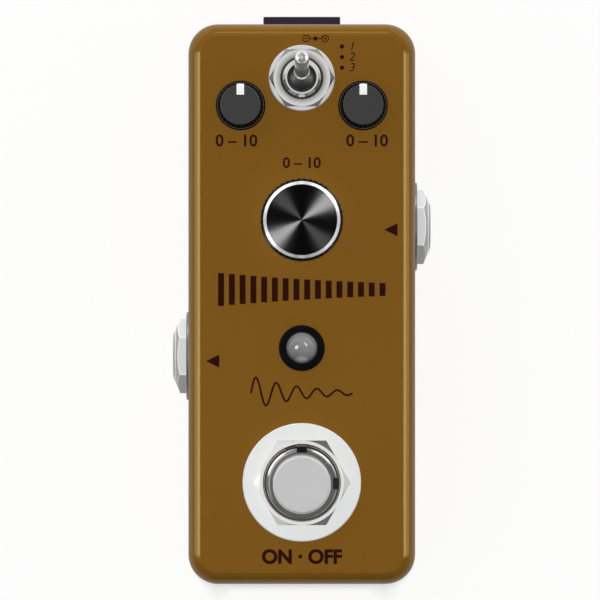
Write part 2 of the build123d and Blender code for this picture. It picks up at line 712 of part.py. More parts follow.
def footswitch_bush():
    """Steel cover plate in one piece with the round-shouldered bush that guides the button: a keyway down
    the rear of the bush and a shallow notch in its shoulder, a quarter turn on."""
    bush_r, bore_r = FOOT_BUSH_D / 2, BUTTON_D / 2 + BUTTON_FIT
    plate = foot_square(foot_body_z, foot_frame_z)
    bush = column(bush_r, foot_body_z, foot_bush_top_z)
    bush = fillet(top_edges(bush), FOOT_BUSH_EDGE_R)
    bore = column(bore_r, foot_body_z, foot_bush_top_z)
    keyway = block(FOOT_KEY_W, FOOT_KEY_DEPTH, foot_frame_z, foot_bush_top_z)
    keyway = Pos(0, bush_r - FOOT_KEY_DEPTH / 2) * keyway
    notch = block(FOOT_NOTCH_DEPTH, FOOT_NOTCH_W, foot_bush_top_z - FOOT_NOTCH_SINK, foot_bush_top_z)
    notch = Pos(bush_r - FOOT_NOTCH_DEPTH / 2) * notch
    return foot_place * (plate + bush - [bore, keyway, notch])


def footswitch_button():
    """Plunger: a flat-topped button above the bush and a flange below it that stops it coming out."""
    button_r, flange_r, high = BUTTON_D / 2, BUTTON_FLANGE_D / 2, foot_bush_top_z + BUTTON_PROUD
    return foot_place * turned(
        (0, flange_z - BUTTON_FLANGE_H), (flange_r, flange_z - BUTTON_FLANGE_H), (flange_r, flange_z),
        (button_r, flange_z), (button_r, high - BUTTON_EDGE), (button_r - BUTTON_EDGE, high), (0, high),
    )


def coil(radius, rise, quarters):
    """Rising coil about Z, as two tangent arcs to each quarter turn."""
    climb = rise / quarters
    slope = climb / (radius * pi / 2)
    turns = [n * pi / 2 for n in range(quarters + 1)]
    points = [Vector(radius * cos(a), radius * sin(a), climb * n) for n, a in enumerate(turns)]
    headings = [Vector(-sin(a), cos(a), slope).normalized() for a in turns]
    arcs = []
    for start, end, leaving, arriving in zip(points, points[1:], headings, headings[1:]):
        chord = end - start
        bend = 2 * (leaving.dot(arriving) - 1)
        along = 2 * chord.dot(leaving + arriving)
        arm = (along - sqrt(along**2 - 4 * bend * chord.dot(chord))) / (2 * bend)
        middle = (start + end + (leaving - arriving) * arm) * 0.5
        across_joint = end - arriving * arm - start - leaving * arm
        arcs.append(TangentArc(start, middle, tangent=leaving))
        arcs.append(TangentArc(middle, end, tangent=across_joint))
    return Wire(arcs)


def footswitch_spring():
    """Return spring between the chamber's floor and the plunger's flange, its wire drawn six-sided."""
    wire_r, coil_r = SPRING_WIRE_D / 2, (SPRING_D - SPRING_WIRE_D) / 2
    low = chamber_z + SPRING_END_AIR + wire_r
    rise = flange_z - BUTTON_FLANGE_H - SPRING_END_AIR - wire_r - low
    path = coil(coil_r, rise, SPRING_QUARTER_TURNS)
    section = Plane(path @ 0, z_dir=path % 0) * RegularPolygon(wire_r, 6)
    return foot_place * Pos(0, 0, low) * sweep(section, path=path)


def foot_nut(height):
    return hex_nut(FOOT_NUT_FLATS, height, FOOT_BUSH_D + 2 * THREAD_FIT, FOOT_CROWN_ANGLE)


def footswitch_nut():
    return foot_place * Pos(0, 0, top_z + FOOT_WASHER_T) * foot_nut(FOOT_NUT_H)


def footswitch_inner_nut():
    return foot_place * Pos(0, 0, foot_frame_z + FOOT_NUT_AIR) * foot_nut(FOOT_INNER_NUT_H)


def footswitch_washer():
    bore = FOOT_BUSH_D + 2 * PANEL_FIT
    return foot_place * washer(FOOT_WASHER_D, bore, top_z, top_z + FOOT_WASHER_T)


def footswitch_lock_washer():
    bore = FOOT_BUSH_D + 2 * PANEL_FIT
    return foot_place * ring(FOOT_LOCK_D, bore, ceiling_z - FOOT_LOCK_T, ceiling_z)


def footswitch_lugs():
    lug = block(BLADE_W, BLADE_T, switch_board_z - PIN_PROUD, foot_floor_z)
    return [foot_place * spot * lug for spot in foot_lugs]


# Jacks, drawn with the wall's outer face at x = 0 and the plug leaving along +X

across = Rot(0, 90, 0)
jack_nut_z = JACK_WASHER_T


def crown_height(radius):
    """Height of the jack nut's cone above the wall at a radius."""
    return jack_nut_z + JACK_NUT_FLAT_H + (JACK_NUT_FLATS / 2 - radius) * tan(radians(JACK_CROWN_ANGLE))


def jack_body():
    """Moulded case bored for the plug, with slots in its top for the contact springs."""
    back = -WALL - JACK_BODY_L
    case = Pos((back - WALL) / 2) * Box(JACK_BODY_L, JACK_BODY_W, JACK_BODY_H)
    case = chamfer(case.edges().filter_by(Axis.X), JACK_BODY_EDGE)
    bore = across * column(JACK_CASE_BORE_D / 2, back, -WALL)
    seat = across * column(JACK_BUSH_D / 2 + PRESS_FIT, -WALL - JACK_BUSH_SEAT, -WALL)
    slot_w = CONTACT_W + 2 * CONTACT_SLOT_FIT
    up = (Align.MIN, Align.CENTER, Align.MIN)
    tip_slot = Pos(back + TIP_SLOT_FROM_END) * Box(TIP_SLOT_L, slot_w, JACK_BODY_H, align=up)
    sleeve_slot = Pos(-WALL - SLEEVE_SLOT_FROM_FRONT - SLEEVE_SLOT_L)
    sleeve_slot *= Box(SLEEVE_SLOT_L, slot_w, JACK_BODY_H, align=up)
    return case - [bore, seat, tip_slot, sleeve_slot]


def jack_bush():
    """Threaded metal sleeve through the wall, its end turned to the same cone as the nut."""
    bush_r, bore_r, nose_r = JACK_BUSH_D / 2, JACK_BORE_D / 2, JACK_NOSE_D / 2
    low, high = -WALL - JACK_BUSH_SEAT, crown_height(nose_r)
    return across * turned(
        (bore_r, low), (bush_r, low), (bush_r, crown_height(bush_r)), (nose_r, high),
        (bore_r + JACK_MOUTH_EDGE, high), (bore_r, high - JACK_MOUTH_EDGE),
    )


def jack_nut():
    """Hexagon nut, corners up and down, under one wide cone."""
    flat_r, bore_r = JACK_NUT_FLATS / 2, JACK_BUSH_D / 2 + THREAD_FIT
    corner_r = flat_r / cos(radians(HEX_ANGLE))
    cone = turned(
        (bore_r, jack_nut_z), (corner_r, jack_nut_z),
        (corner_r, crown_height(corner_r)), (bore_r, crown_height(bore_r)),
    )
    hexagon = extrude(RegularPolygon(flat_r, 6, major_radius=False), crown_height(bore_r))
    return across * Rot(0, 0, 90) * (Pos(0, 0, jack_nut_z) * hexagon & cone)


def jack_washer():
    return across * washer(JACK_WASHER_D, JACK_BUSH_D + 2 * PANEL_FIT, 0, JACK_WASHER_T)


def jack_contacts():
    """Tip spring, bent in as a plug holds it, and the short sleeve contact, with tails to the board."""
    half_t = CONTACT_T / 2
    tail_top = board_top_z - PIN_SHORT - jack_z
    bore_r, far_x = JACK_BORE_D / 2, tip_pin_x + TIP_SLOT_L - 2 * TIP_SLOT_FROM_END
    leaf_z = (bore_r + JACK_BODY_H / 2) / 2
    bump = ((tip_pin_x + far_x) / 2, bore_r + CONTACT_T)
    tip = Polyline((tip_pin_x, tail_top), (tip_pin_x, leaf_z), bump, (far_x, leaf_z))
    sleeve = Polyline((sleeve_pin_x, tail_top), (sleeve_pin_x, bore_r + half_t))
    strips = [Plane.XZ * trace(line, CONTACT_T) for line in (tip, sleeve)]
    return [extrude(strip, CONTACT_W / 2, both=True) for strip in strips]


# Power socket, drawn with the wall's outer face at y = 0 and the plug leaving along +Y


def power_socket():
    """Moulded socket: nose through the rear wall, shoulders behind it, a round bore about the pin."""
    inwards = (Align.CENTER, Align.MAX, Align.CENTER)
    nose = Pos(0, POWER_PROUD) * Box(POWER_W, POWER_PROUD + WALL, POWER_H, align=inwards)
    nose = chamfer(nose.faces().sort_by(Axis.Y)[-1].edges(), POWER_EDGE)
    case_w = POWER_W + 2 * POWER_SHOULDER
    case = Pos(0, -WALL) * Box(case_w, POWER_DEPTH, POWER_H, align=inwards)
    along = Pos(0, POWER_PROUD) * Rot(90, 0, 0)
    bore = along * column(POWER_BORE_D / 2, 0, POWER_BORE_DEPTH)
    root = along * column(POWER_PIN_ROOT_D / 2 + PRESS_FIT, 0, POWER_BORE_DEPTH + POWER_PIN_ROOT)
    return power_place * (nose + case - [bore, root])


def power_pin():
    """Contact pin on the bore's axis, its shoulder on the bore's floor and its root pressed in."""
    pin_r = POWER_PIN_D / 2
    pin = chamfer(bottom_edges(column(pin_r, POWER_PIN_SET_BACK, POWER_BORE_DEPTH)), pin_r / 2)
    pin += column(POWER_PIN_ROOT_D / 2, POWER_BORE_DEPTH, POWER_BORE_DEPTH + POWER_PIN_ROOT)
    return power_place * Pos(0, POWER_PROUD) * Rot(90, 0, 0) * pin


def power_terminals():
    tail = block(PIN_W, PIN_W, power_z + POWER_H / 2, board_top_z - PIN_SHORT)
    return [Pos(0, BODY_L / 2) * spot * tail for spot in power_pins]


# Everything in its place

small_top_z = knob_z + SMALL_BORE_DEPTH - NEAR
time_top_z = knob_z + TIME_CORE_H - NEAR
on_panel = Pos(0, 0, knob_z)

pieces = {
    "enclosure": enclosure(),
    "base_plate": base_plate(),
    "base_screws": base_screws(),
    "base_pad": base_pad(),
    "main_board": main_board(),
    "switch_board": switch_board(),
    "link_header": link_header(),
    "link_pins": link_pins(),
    "echo_chips": echo_chips(),
    "filter_capacitors": filter_capacitors(),
    "pot_terminals": pot_terminals(),
    "time_pot_body": pot_body(time_place, TIME_SHAFT_D),
    "time_pot_shaft": pot_shaft(time_place, TIME_SHAFT_D, time_top_z),
    "time_knob": time_place * on_panel * time_knob(),
    "time_knob_core": time_place * on_panel * time_knob_core(),
    "toggle_body": toggle_body(),
    "toggle_frame": toggle_frame(),
    "toggle_lever": toggle_lever(),
    "toggle_nut": toggle_nut(),
    "toggle_washer": toggle_washer(),
    "toggle_lock_washer": toggle_lock_washer(),
    "toggle_terminals": toggle_terminals(),
    "led_lens": led_lens(),
    "led_bezel": led_bezel(),
    "led_leads": led_leads(),
    "footswitch_body": footswitch_body(),
    "footswitch_bush": footswitch_bush(),
    "footswitch_button": footswitch_button(),
    "footswitch_spring": footswitch_spring(),
    "footswitch_nut": footswitch_nut(),
    "footswitch_inner_nut": footswitch_inner_nut(),
    "footswitch_washer": footswitch_washer(),
    "footswitch_lock_washer": footswitch_lock_washer(),
    "footswitch_lugs": footswitch_lugs(),
    "power_socket": power_socket(),
    "power_pin": power_pin(),
    "power_terminals": power_terminals(),
}
for name, place in (("level", level_place), ("regen", regen_place)):
    pieces[f"{name}_pot_body"] = pot_body(place, SMALL_SHAFT_D)
    pieces[f"{name}_pot_shaft"] = pot_shaft(place, SMALL_SHAFT_D, small_top_z)
    pieces[f"{name}_knob"] = place * on_panel * small_knob()
    pieces[f"{name}_pointer"] = place * on_panel * small_pointer()
for name, place in (("input", input_place), ("output", output_place)):
    pieces[f"{name}_jack_body"] = place * jack_body()
    pieces[f"{name}_jack_bush"] = place * jack_bush()
    pieces[f"{name}_jack_nut"] = place * jack_nut()
    pieces[f"{name}_jack_washer"] = place * jack_washer()
    pieces[f"{name}_jack_contacts"] = [place * contact for contact in jack_contacts()]

os.makedirs("parts", exist_ok=True)
for name, shape in pieces.items():
    solids = shape if isinstance(shape, list) else [shape]
    whole = solids[0] if len(solids) == 1 else Compound(children=[s.solids()[0] for s in solids])
    export_step(whole, f"parts/{name}.step")
spring_l = flange_z - BUTTON_FLANGE_H - chamber_z - SPRING_WIRE_D
spring_gap = 4 * spring_l / SPRING_QUARTER_TURNS - SPRING_WIRE_D
print(len(pieces), "pieces; footswitch spring, about", round(spring_gap, 2), "mm between turns")
print("lever pivot at y, z", round(toggle_y, 3), round(pivot_z, 4))
print("small knobs at x, y", round(small_x, 3), round(small_y, 3))
print("input jack at y", round(input_y, 3), "output jack at y", round(output_y, 3))
print("jack axis at z", round(jack_z, 3), "and power axis at z", round(power_z, 3))
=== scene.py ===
# %% [markdown]
# # Tape echo pedal
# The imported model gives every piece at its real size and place. This lesson dresses it: a studio, a
# camera above the panel, one finish for each real material, and the details that are too fine for the
# solids, which are a thread, the return spring's round wire and the print on the panel.

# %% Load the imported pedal
import json
import math

import bpy
from mathutils import Matrix, Vector


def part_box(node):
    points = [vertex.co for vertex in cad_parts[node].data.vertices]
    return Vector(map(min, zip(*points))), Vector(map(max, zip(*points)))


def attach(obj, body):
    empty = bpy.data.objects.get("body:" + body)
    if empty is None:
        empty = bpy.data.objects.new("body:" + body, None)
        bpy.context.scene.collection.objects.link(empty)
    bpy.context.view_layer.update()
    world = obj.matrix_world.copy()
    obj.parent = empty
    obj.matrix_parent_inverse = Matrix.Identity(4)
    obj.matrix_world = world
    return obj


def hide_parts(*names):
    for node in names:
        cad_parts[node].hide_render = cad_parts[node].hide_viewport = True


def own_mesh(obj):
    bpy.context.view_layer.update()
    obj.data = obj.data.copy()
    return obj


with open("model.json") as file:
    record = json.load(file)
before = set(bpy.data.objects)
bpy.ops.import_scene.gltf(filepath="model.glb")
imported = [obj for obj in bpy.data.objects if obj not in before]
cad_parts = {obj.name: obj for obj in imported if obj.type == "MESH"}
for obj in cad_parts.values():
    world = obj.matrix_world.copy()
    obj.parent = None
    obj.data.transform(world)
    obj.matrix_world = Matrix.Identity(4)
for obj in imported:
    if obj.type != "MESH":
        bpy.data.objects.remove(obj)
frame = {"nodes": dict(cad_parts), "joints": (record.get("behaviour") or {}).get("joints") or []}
nodes = frame["nodes"]
scene = bpy.context.scene
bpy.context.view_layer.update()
MM = 0.001

# %% [markdown]
# ## Small helpers
# Colours are written as the hex codes that a colour picker shows, so one function turns them into the
# linear values that shaders take. A node tree is a list of nodes and links, so one function adds a node
# with its settings and its inputs, where an input is either a plain value or another node's output. Four
# more add the nodes that come up most: a calculation with numbers or with vectors, a blend of two colours
# and a ramp.


# %% Helpers for colours and nodes
def linear(code):
    """Linear colour of an sRGB hex code."""
    parts = [int(code[i:i + 2], 16) / 255 for i in (1, 3, 5)]
    return [c / 12.92 if c <= 0.04045 else ((c + 0.055) / 1.055) ** 2.4 for c in parts] + [1.0]


def add(tree, kind, inputs=None, **settings):
    """Add one node: settings are its properties, inputs its values or the outputs linked to it."""
    node = tree.nodes.new(kind)
    for name, value in settings.items():
        setattr(node, name, value)
    for socket, value in (inputs or {}).items():
        if isinstance(value, bpy.types.NodeSocket):
            tree.links.new(value, node.inputs[socket])
        else:
            node.inputs[socket].default_value = value
    return node


def calc(tree, operation, *values):
    """Output of a maths node."""
    return add(tree, "ShaderNodeMath", dict(enumerate(values)), operation=operation).outputs[0]


def vector(tree, operation, *values):
    """Output of a vector maths node: a number for a length or a dot product."""
    node = add(tree, "ShaderNodeVectorMath", dict(enumerate(values)), operation=operation)
    return node.outputs["Value" if operation in ("LENGTH", "DOT_PRODUCT") else "Vector"]


def blend(tree, share, first, second):
    """Output that goes from one colour to another as a share rises; each is a hex code or an output."""
    first, second = (linear(colour) if isinstance(colour, str) else colour for colour in (first, second))
    return add(tree, "ShaderNodeMix", {
        "Factor": share, "A": first, "B": second,
    }, data_type="RGBA").outputs["Result"]


def ramp(tree, value, low, high, span=(0.0, 1.0), smooth=False):
    """Output that goes from low to high while a value crosses a span."""
    return add(tree, "ShaderNodeMapRange", {
        "Value": value, "From Min": span[0], "From Max": span[1], "To Min": low, "To Max": high,
    }, interpolation_type="SMOOTHSTEP" if smooth else "LINEAR").outputs[0]


print("bronze as linear:", [round(c, 3) for c in linear("#7B551C")])

# %% [markdown]
# ## Camera
# The photograph looks straight down on the panel from far away. Its scale and the place of the pedal's
# middle in it give the camera: the lens follows from the distance and the width that the frame covers.

# %% Camera straight above the panel
FRAME_PX = 600
PX_PER_MM = 5.98
MIDDLE_PX = (301.8, 304.15)
CAMERA_HEIGHT = 1.27
SENSOR_MM = 36.0

box_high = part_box("enclosure")[1]
panel_z = box_high.z
frame_width = FRAME_PX / PX_PER_MM * MM
view = bpy.data.cameras.new("photo_view")
view.sensor_width = SENSOR_MM
view.lens = SENSOR_MM * CAMERA_HEIGHT / frame_width
camera = bpy.data.objects.new("photo_view", view)
camera.location = (
    (FRAME_PX / 2 - MIDDLE_PX[0]) / PX_PER_MM * MM,
    (MIDDLE_PX[1] - FRAME_PX / 2) / PX_PER_MM * MM,
    panel_z + CAMERA_HEIGHT,
)
scene.collection.objects.link(camera)
scene.camera = camera
scene.view_settings.view_transform = "Standard"
print("lens in mm:", round(view.lens, 1), "panel at z in mm:", round(panel_z / MM, 2))

# %% [markdown]
# ## Floor
# A white sweep of paper. A diffuse floor alone would be grey where the light is weak, so most of what the
# camera sees of it is a plain white glow, and metal and glass see the same paper. The rest is diffuse,
# which keeps the pedal's own shadow. Under the box no light reaches the paper, so the glow fades out round
# the box's footprint.

# %% White paper floor
FLOOR_HALF = 5.0
PAPER_GLOW = 0.65
SHADE_ROUND = 5.0 * MM
SHADE_INSIDE = 1.2 * MM
SHADE_OUTSIDE = 0.4 * MM

corners = [(sx * FLOOR_HALF, sy * FLOOR_HALF, 0.0) for sx, sy in ((-1, -1), (1, -1), (1, 1), (-1, 1))]
floor_mesh = bpy.data.meshes.new("paper_floor")
floor_mesh.from_pydata(corners, [], [range(4)])
floor = bpy.data.objects.new("paper_floor", floor_mesh)
scene.collection.objects.link(floor)

paper = bpy.data.materials.new("paper_white_matt")
paper.use_nodes = True
tree = paper.node_tree
tree.nodes.clear()
rays = add(tree, "ShaderNodeLightPath")
mirrored = calc(tree, "MAXIMUM", rays.outputs["Is Glossy Ray"], rays.outputs["Is Transmission Ray"])
seen = calc(tree, "MAXIMUM", rays.outputs["Is Camera Ray"], mirrored)
footprint = nodes["base_plate"].dimensions / 2
straight = (footprint.x - SHADE_ROUND, footprint.y - SHADE_ROUND, 0.0)
place = add(tree, "ShaderNodeNewGeometry")
apart = vector(tree, "ABSOLUTE", place.outputs["Position"])
beyond = vector(tree, "SUBTRACT", apart, straight)
outer = vector(tree, "MAXIMUM", beyond, (0.0, 0.0, 0.0))
reach = vector(tree, "LENGTH", outer)
fade = (SHADE_ROUND - SHADE_INSIDE, SHADE_ROUND + SHADE_OUTSIDE)
lit = ramp(tree, reach, 0.0, PAPER_GLOW, fade, smooth=True)
share = calc(tree, "MULTIPLY", seen, lit)
diffuse = add(tree, "ShaderNodeBsdfDiffuse", {"Color": linear("#FAFAFA")})
glow = add(tree, "ShaderNodeEmission", {"Color": linear("#FFFFFF"), "Strength": 1.0})
mixed = add(tree, "ShaderNodeMixShader", {0: share, 1: diffuse.outputs[0], 2: glow.outputs[0]})
add(tree, "ShaderNodeOutputMaterial", {"Surface": mixed.outputs[0]})
floor_mesh.materials.append(paper)
print("floor half side in m:", FLOOR_HALF)

# %% [markdown]
# ## Light
# Bright metal shows the room, so the room is drawn for it: dim overall, with a pale wall high up behind
# on the left and four windows low in the corners, the near ones dimmer. Each level starts where the one
# below it stops, so the levels are chained. The spans are parts of a unit direction.

# %% Room
DIM = 0.17
LEFT_WALL = 0.5
WALL_WAY = (-0.87, 0.5, 0.0)
WINDOW = 1.4
LOW_WALL = 0.3
NEAR_SHARE = 0.2
CORNER_SPAN = (0.12, 0.4)
DEPTH_SPAN = (-0.7, 0.3)
SIDE_SPAN = (0.25, 0.5)
WINDOW_TOP = (0.2, 0.35)
WALL_FOOT = (0.5, 0.62)
WALL_TOP = (0.94, 0.97)

room = bpy.data.worlds.new("studio_room")
scene.world = room
room.use_nodes = True
tree = room.node_tree
tree.nodes.clear()
towards = add(tree, "ShaderNodeTexCoord")
way = add(tree, "ShaderNodeSeparateXYZ", {0: towards.outputs["Generated"]})
product = calc(tree, "MULTIPLY", way.outputs["X"], way.outputs["Y"])
corner = calc(tree, "ABSOLUTE", product)
window = ramp(tree, corner, LOW_WALL, WINDOW, CORNER_SPAN, smooth=True)
depth = ramp(tree, way.outputs["Y"], NEAR_SHARE, 1.0, DEPTH_SPAN, smooth=True)
walls = calc(tree, "MULTIPLY", window, depth)
leftward = vector(tree, "DOT_PRODUCT", towards.outputs["Generated"], WALL_WAY)
side = ramp(tree, leftward, DIM, LEFT_WALL, SIDE_SPAN, smooth=True)
level = ramp(tree, way.outputs["Z"], walls, DIM, WINDOW_TOP, smooth=True)
level = ramp(tree, way.outputs["Z"], level, side, WALL_FOOT, smooth=True)
level = ramp(tree, way.outputs["Z"], level, DIM, WALL_TOP, smooth=True)
sky = add(tree, "ShaderNodeBackground", {"Color": linear("#FFFFFF"), "Strength": level})
add(tree, "ShaderNodeOutputWorld", {"Surface": sky.outputs[0]})
print("room: dim", DIM, "left wall", LEFT_WALL, "windows", WINDOW)

# %% [markdown]
# Most of the light comes from one soft lamp, high up and to the rear, so the rear edge of the box is
# lighter than the front one. It lights dull surfaces only, so it leaves no white spot on metal, and only
# the base blocks it, so the panel stays even round the knobs and a thin shadow lies along the front.

# %% Top light
TOP_LIGHT = 0.76
TOP_LEAN = 30.0
TOP_ANGLE = 16.0
BASE_PIECES = ["base_plate", "base_screws", "base_pad"]


def lit_group(name, members):
    """Collection of CAD nodes that a lamp is linked to."""
    group = bpy.data.collections.new(name)
    for member in members:
        group.objects.link(nodes[member])
    return group


top_lamp = bpy.data.lights.new("top_light", "SUN")
top_lamp.energy = TOP_LIGHT * math.pi / math.cos(math.radians(TOP_LEAN))
top_lamp.angle = math.radians(TOP_ANGLE)
top = bpy.data.objects.new("top_light", top_lamp)
top.rotation_euler = (math.radians(-TOP_LEAN), 0, 0)
top.visible_glossy = False
top.visible_transmission = False
top.light_linking.blocker_collection = lit_group("blocks_top_light", BASE_PIECES)
scene.collection.objects.link(top)
print("top light:", TOP_LIGHT, "of full level")

# %% [markdown]
# The rest are strips, each flagged to the pieces that need it, as a studio hangs cards round a product.
# The box gets two along each side and one behind, which draw the gold lines on its rounded edges. Bright
# metal gets a card overhead, the footswitch's nut one on the right and two on the left, its bush two
# behind, and the lamp's dome two glints. A spun face spreads each lamp into a line through its middle, so
# four tall, narrow strips, two strong and two weak, draw the streaks on the large knob. Of these, all but
# the card light by reflection only. The lever and the jacks are satin, so the strips beside the lever
# and behind the jacks light them as dull surfaces too.
#
# Each row below names the pieces, says whether they are lit as dull surfaces too, and lists the strips:
# azimuth and tilt from overhead in degrees, width and height in metres, and how bright the strip looks.

# %% Strips
LAMP_DISTANCE = 1.0
JACKS = ("input", "output")
JACK_PIECES = [f"{jack}_jack_{piece}" for jack in JACKS for piece in ("nut", "washer", "bush")]
SWITCH_PIECES = ["toggle_nut", "toggle_washer", "toggle_frame", "toggle_lever"]
FOOT_PIECES = ["footswitch_nut", "footswitch_button"]
FLAGGED = {
    "box": (["enclosure"], False, [
        (0, 51, 0.3, 0.21, 9.0), (0, 69, 0.3, 0.4, 3.6),
        (180, 51, 0.3, 0.21, 9.0), (180, 69, 0.3, 0.4, 3.6), (90, 64, 0.3, 0.14, 3.5),
    ]),
    "metal": (JACK_PIECES + SWITCH_PIECES + FOOT_PIECES, True, [(0, 0, 0.5, 0.5, 0.9)]),
    "nut": (["footswitch_nut"], False, [
        (145, 44, 1.1, 0.5, 0.48), (215, 44, 1.1, 0.5, 0.54), (0, 44, 0.5, 0.5, 0.6),
    ]),
    "ring": (["footswitch_bush"], False, [(52, 68, 0.6, 0.7, 0.9), (145, 70, 0.8, 0.7, 1.1)]),
    "dome": (["led_lens"], False, [(169, 38, 0.45, 0.4, 14.0), (42, 42, 0.5, 0.26, 10.0)]),
    "spun": (["time_knob"], False, [
        (40, 45, 0.3, 0.75, 134.0), (211, 45, 0.3, 0.75, 134.0),
        (131, 45, 0.3, 0.75, 21.0), (318, 45, 0.3, 0.75, 21.0),
    ]),
    "lever": (["toggle_lever"], True, [(0, 80, 0.5, 0.5, 10.0), (180, 80, 0.5, 0.5, 10.0)]),
    "jacks": (JACK_PIECES, True, [(90, 70, 0.6, 0.4, 4.0)]),
}


def strip_light(name, azimuth, tilt, width, height, radiance):
    """Rectangular lamp aimed at the panel; its power follows from its area and how bright it looks."""
    lamp = bpy.data.lights.new(name, "AREA")
    lamp.shape = "RECTANGLE"
    lamp.size = width
    lamp.size_y = height
    lamp.energy = radiance * math.pi * width * height
    turn, lean = math.radians(azimuth), math.radians(tilt)
    away = Vector((math.cos(turn) * math.sin(lean), math.sin(turn) * math.sin(lean), math.cos(lean)))
    box = bpy.data.objects.new(name, lamp)
    box.location = Vector((0, 0, panel_z)) + LAMP_DISTANCE * away
    box.rotation_mode = "QUATERNION"
    box.rotation_quaternion = away.to_track_quat("Z", "Y")
    box.visible_camera = False
    scene.collection.objects.link(box)
    return box


for part, (pieces, dull, strips) in FLAGGED.items():
    group = lit_group(f"lit_{part}", pieces)
    for number, settings in enumerate(strips, 1):
        strip = strip_light(f"{part}_strip_{number}", *settings)
        strip.visible_diffuse = dull
        strip.light_linking.receiver_collection = group
        strip.light_linking.blocker_collection = group
print("strips:", {part: len(strips) for part, (pieces, dull, strips) in FLAGGED.items()})

# %% [markdown]
# ## Patterns that finishes share
# No real surface is one flat colour: moulded, plated and painted faces all vary a little in tone, in
# gloss and in height. Three functions add that to a material, each from noise of one size in
# millimetres. The others start a material on a single Principled shader with its constant sockets set,
# link what varies to it, measure the distance from an upright axis, and give pieces their finish.


# %% Starting a finish, and its tone, gloss and grain
def start_finish(name, colour, roughness, **sockets):
    """New material on one Principled shader."""
    material = bpy.data.materials.new(name)
    material.use_nodes = True
    shader = material.node_tree.nodes["Principled BSDF"]
    shader.inputs["Base Color"].default_value = linear(colour)
    shader.inputs["Roughness"].default_value = roughness
    for socket, value in sockets.items():
        shader.inputs[socket.replace("_", " ")].default_value = value
    return material, material.node_tree, shader


def feed(tree, shader, **outputs):
    """Link outputs to the shader's sockets."""
    for socket, output in outputs.items():
        tree.links.new(output, shader.inputs[socket.replace("_", " ")])


def clouds(tree, size_mm):
    """Noise in object space whose lumps are about size_mm across."""
    place = add(tree, "ShaderNodeTexCoord")
    return add(tree, "ShaderNodeTexNoise", {
        "Vector": place.outputs["Object"], "Scale": 1 / (size_mm * MM),
    }).outputs[0]


def vary_tone(tree, shader, size_mm, dark, pale):
    """Let the colour wander between two tones."""
    noise = clouds(tree, size_mm)
    tone = blend(tree, noise, dark, pale)
    feed(tree, shader, Base_Color=tone)


def vary_gloss(tree, shader, size_mm, low, high):
    """Let the roughness wander between two values."""
    noise = clouds(tree, size_mm)
    gloss = ramp(tree, noise, low, high)
    feed(tree, shader, Roughness=gloss)


def raise_grain(tree, shader, size_mm, height_mm):
    """Bump the surface with lumps of that size and height."""
    noise = clouds(tree, size_mm)
    bump = add(tree, "ShaderNodeBump", {"Height": noise, "Distance": height_mm * MM})
    feed(tree, shader, Normal=bump.outputs[0])


def from_axis(tree, axis):
    """Flat object coordinates about an upright axis, and the distance from it."""
    place = add(tree, "ShaderNodeTexCoord")
    centred = add(tree, "ShaderNodeMapping", {
        "Vector": place.outputs["Object"], "Location": (-axis.x, -axis.y, 0), "Scale": (1, 1, 0),
    })
    radius = vector(tree, "LENGTH", centred.outputs[0])
    return centred.outputs[0], radius


def wear(material, *names):
    """Give CAD nodes this finish."""
    for name in names:
        nodes[name].material_slots[0].material = material


print("patterns: tone, gloss and grain")

# %% [markdown]
# ## Bronze enamel on the box
# The shell is die-cast and sprayed with a metallic enamel. Fine flakes in the paint give a little metal
# shine, its amber binder tints the highlights gold, and spraying leaves a very shallow orange peel. The
# flakes are too fine for the picture, so they are drawn a quarter of a millimetre across. The rounded
# edges are drawn glossier than the flat faces, and the upward part of the normal picks them out.

# %% Bronze enamel
PANEL_ROUGHNESS = (0.43, 0.47)
EDGE_FACING = 0.65
EDGE_FACING_SPAN = 0.33
EDGE_ROUGHNESS = 0.14


def bronze_enamel():
    material, tree, shader = start_finish(
        "enamel_bronze_metallic_sprayed", "#785218", PANEL_ROUGHNESS[1], Metallic=0.03,
        Specular_Tint=linear("#FFF3AA"), Specular_IOR_Level=0.3,
    )
    vary_tone(tree, shader, size_mm=0.25, dark="#765016", pale="#7A541A")
    lumps = clouds(tree, size_mm=6.0)
    gloss = ramp(tree, lumps, *PANEL_ROUGHNESS)
    surface = add(tree, "ShaderNodeNewGeometry")
    facing = add(tree, "ShaderNodeSeparateXYZ", {0: surface.outputs["Normal"]})
    edge = calc(tree, "COMPARE", facing.outputs["Z"], EDGE_FACING, EDGE_FACING_SPAN)
    gloss = ramp(tree, edge, gloss, EDGE_ROUGHNESS)
    feed(tree, shader, Roughness=gloss)
    raise_grain(tree, shader, size_mm=1.2, height_mm=0.002)
    return material


enamel = bronze_enamel()
wear(enamel, "enclosure", "base_plate")
print("made", enamel.name)

# %% [markdown]
# ## Spun knob
# The large knob is turned from aluminium and anodised black. Its face is spun, which leaves circular
# scratches: they stretch each lamp into a streak from the middle outwards, and an anisotropic shader
# with a tangent running round the axis does the same. After dyeing, the bevel was cut bright again, so
# a ring of radii around the axis picks it out, and outside it the fluted side is a plain dull black.

# %% Anodised knob with a bright bevel
GROOVE_MM = 0.22
GROOVE_DEPTH_MM = 0.002
SPUN_BLACK = "#1A1A1A"
SPUN_ROUGHNESS = 0.3
FLUTE_BLACK = "#0E0E0E"
BEVEL_ROUGHNESS = 0.12
BEVEL_METALLIC = 0.7
BEVEL_INNER_MM = 0.97
BEVEL_OUTER_MM = 0.46
# A wave texture of scale 1 repeats after this length
WAVE_TURN = 2 * math.pi / 20

knob_low, knob_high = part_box("time_knob")
knob_axis = (knob_low + knob_high) / 2
knob_r = (knob_high.x - knob_low.x) / 2
bevel_inner = knob_r - BEVEL_INNER_MM * MM
bevel_outer = knob_r - BEVEL_OUTER_MM * MM


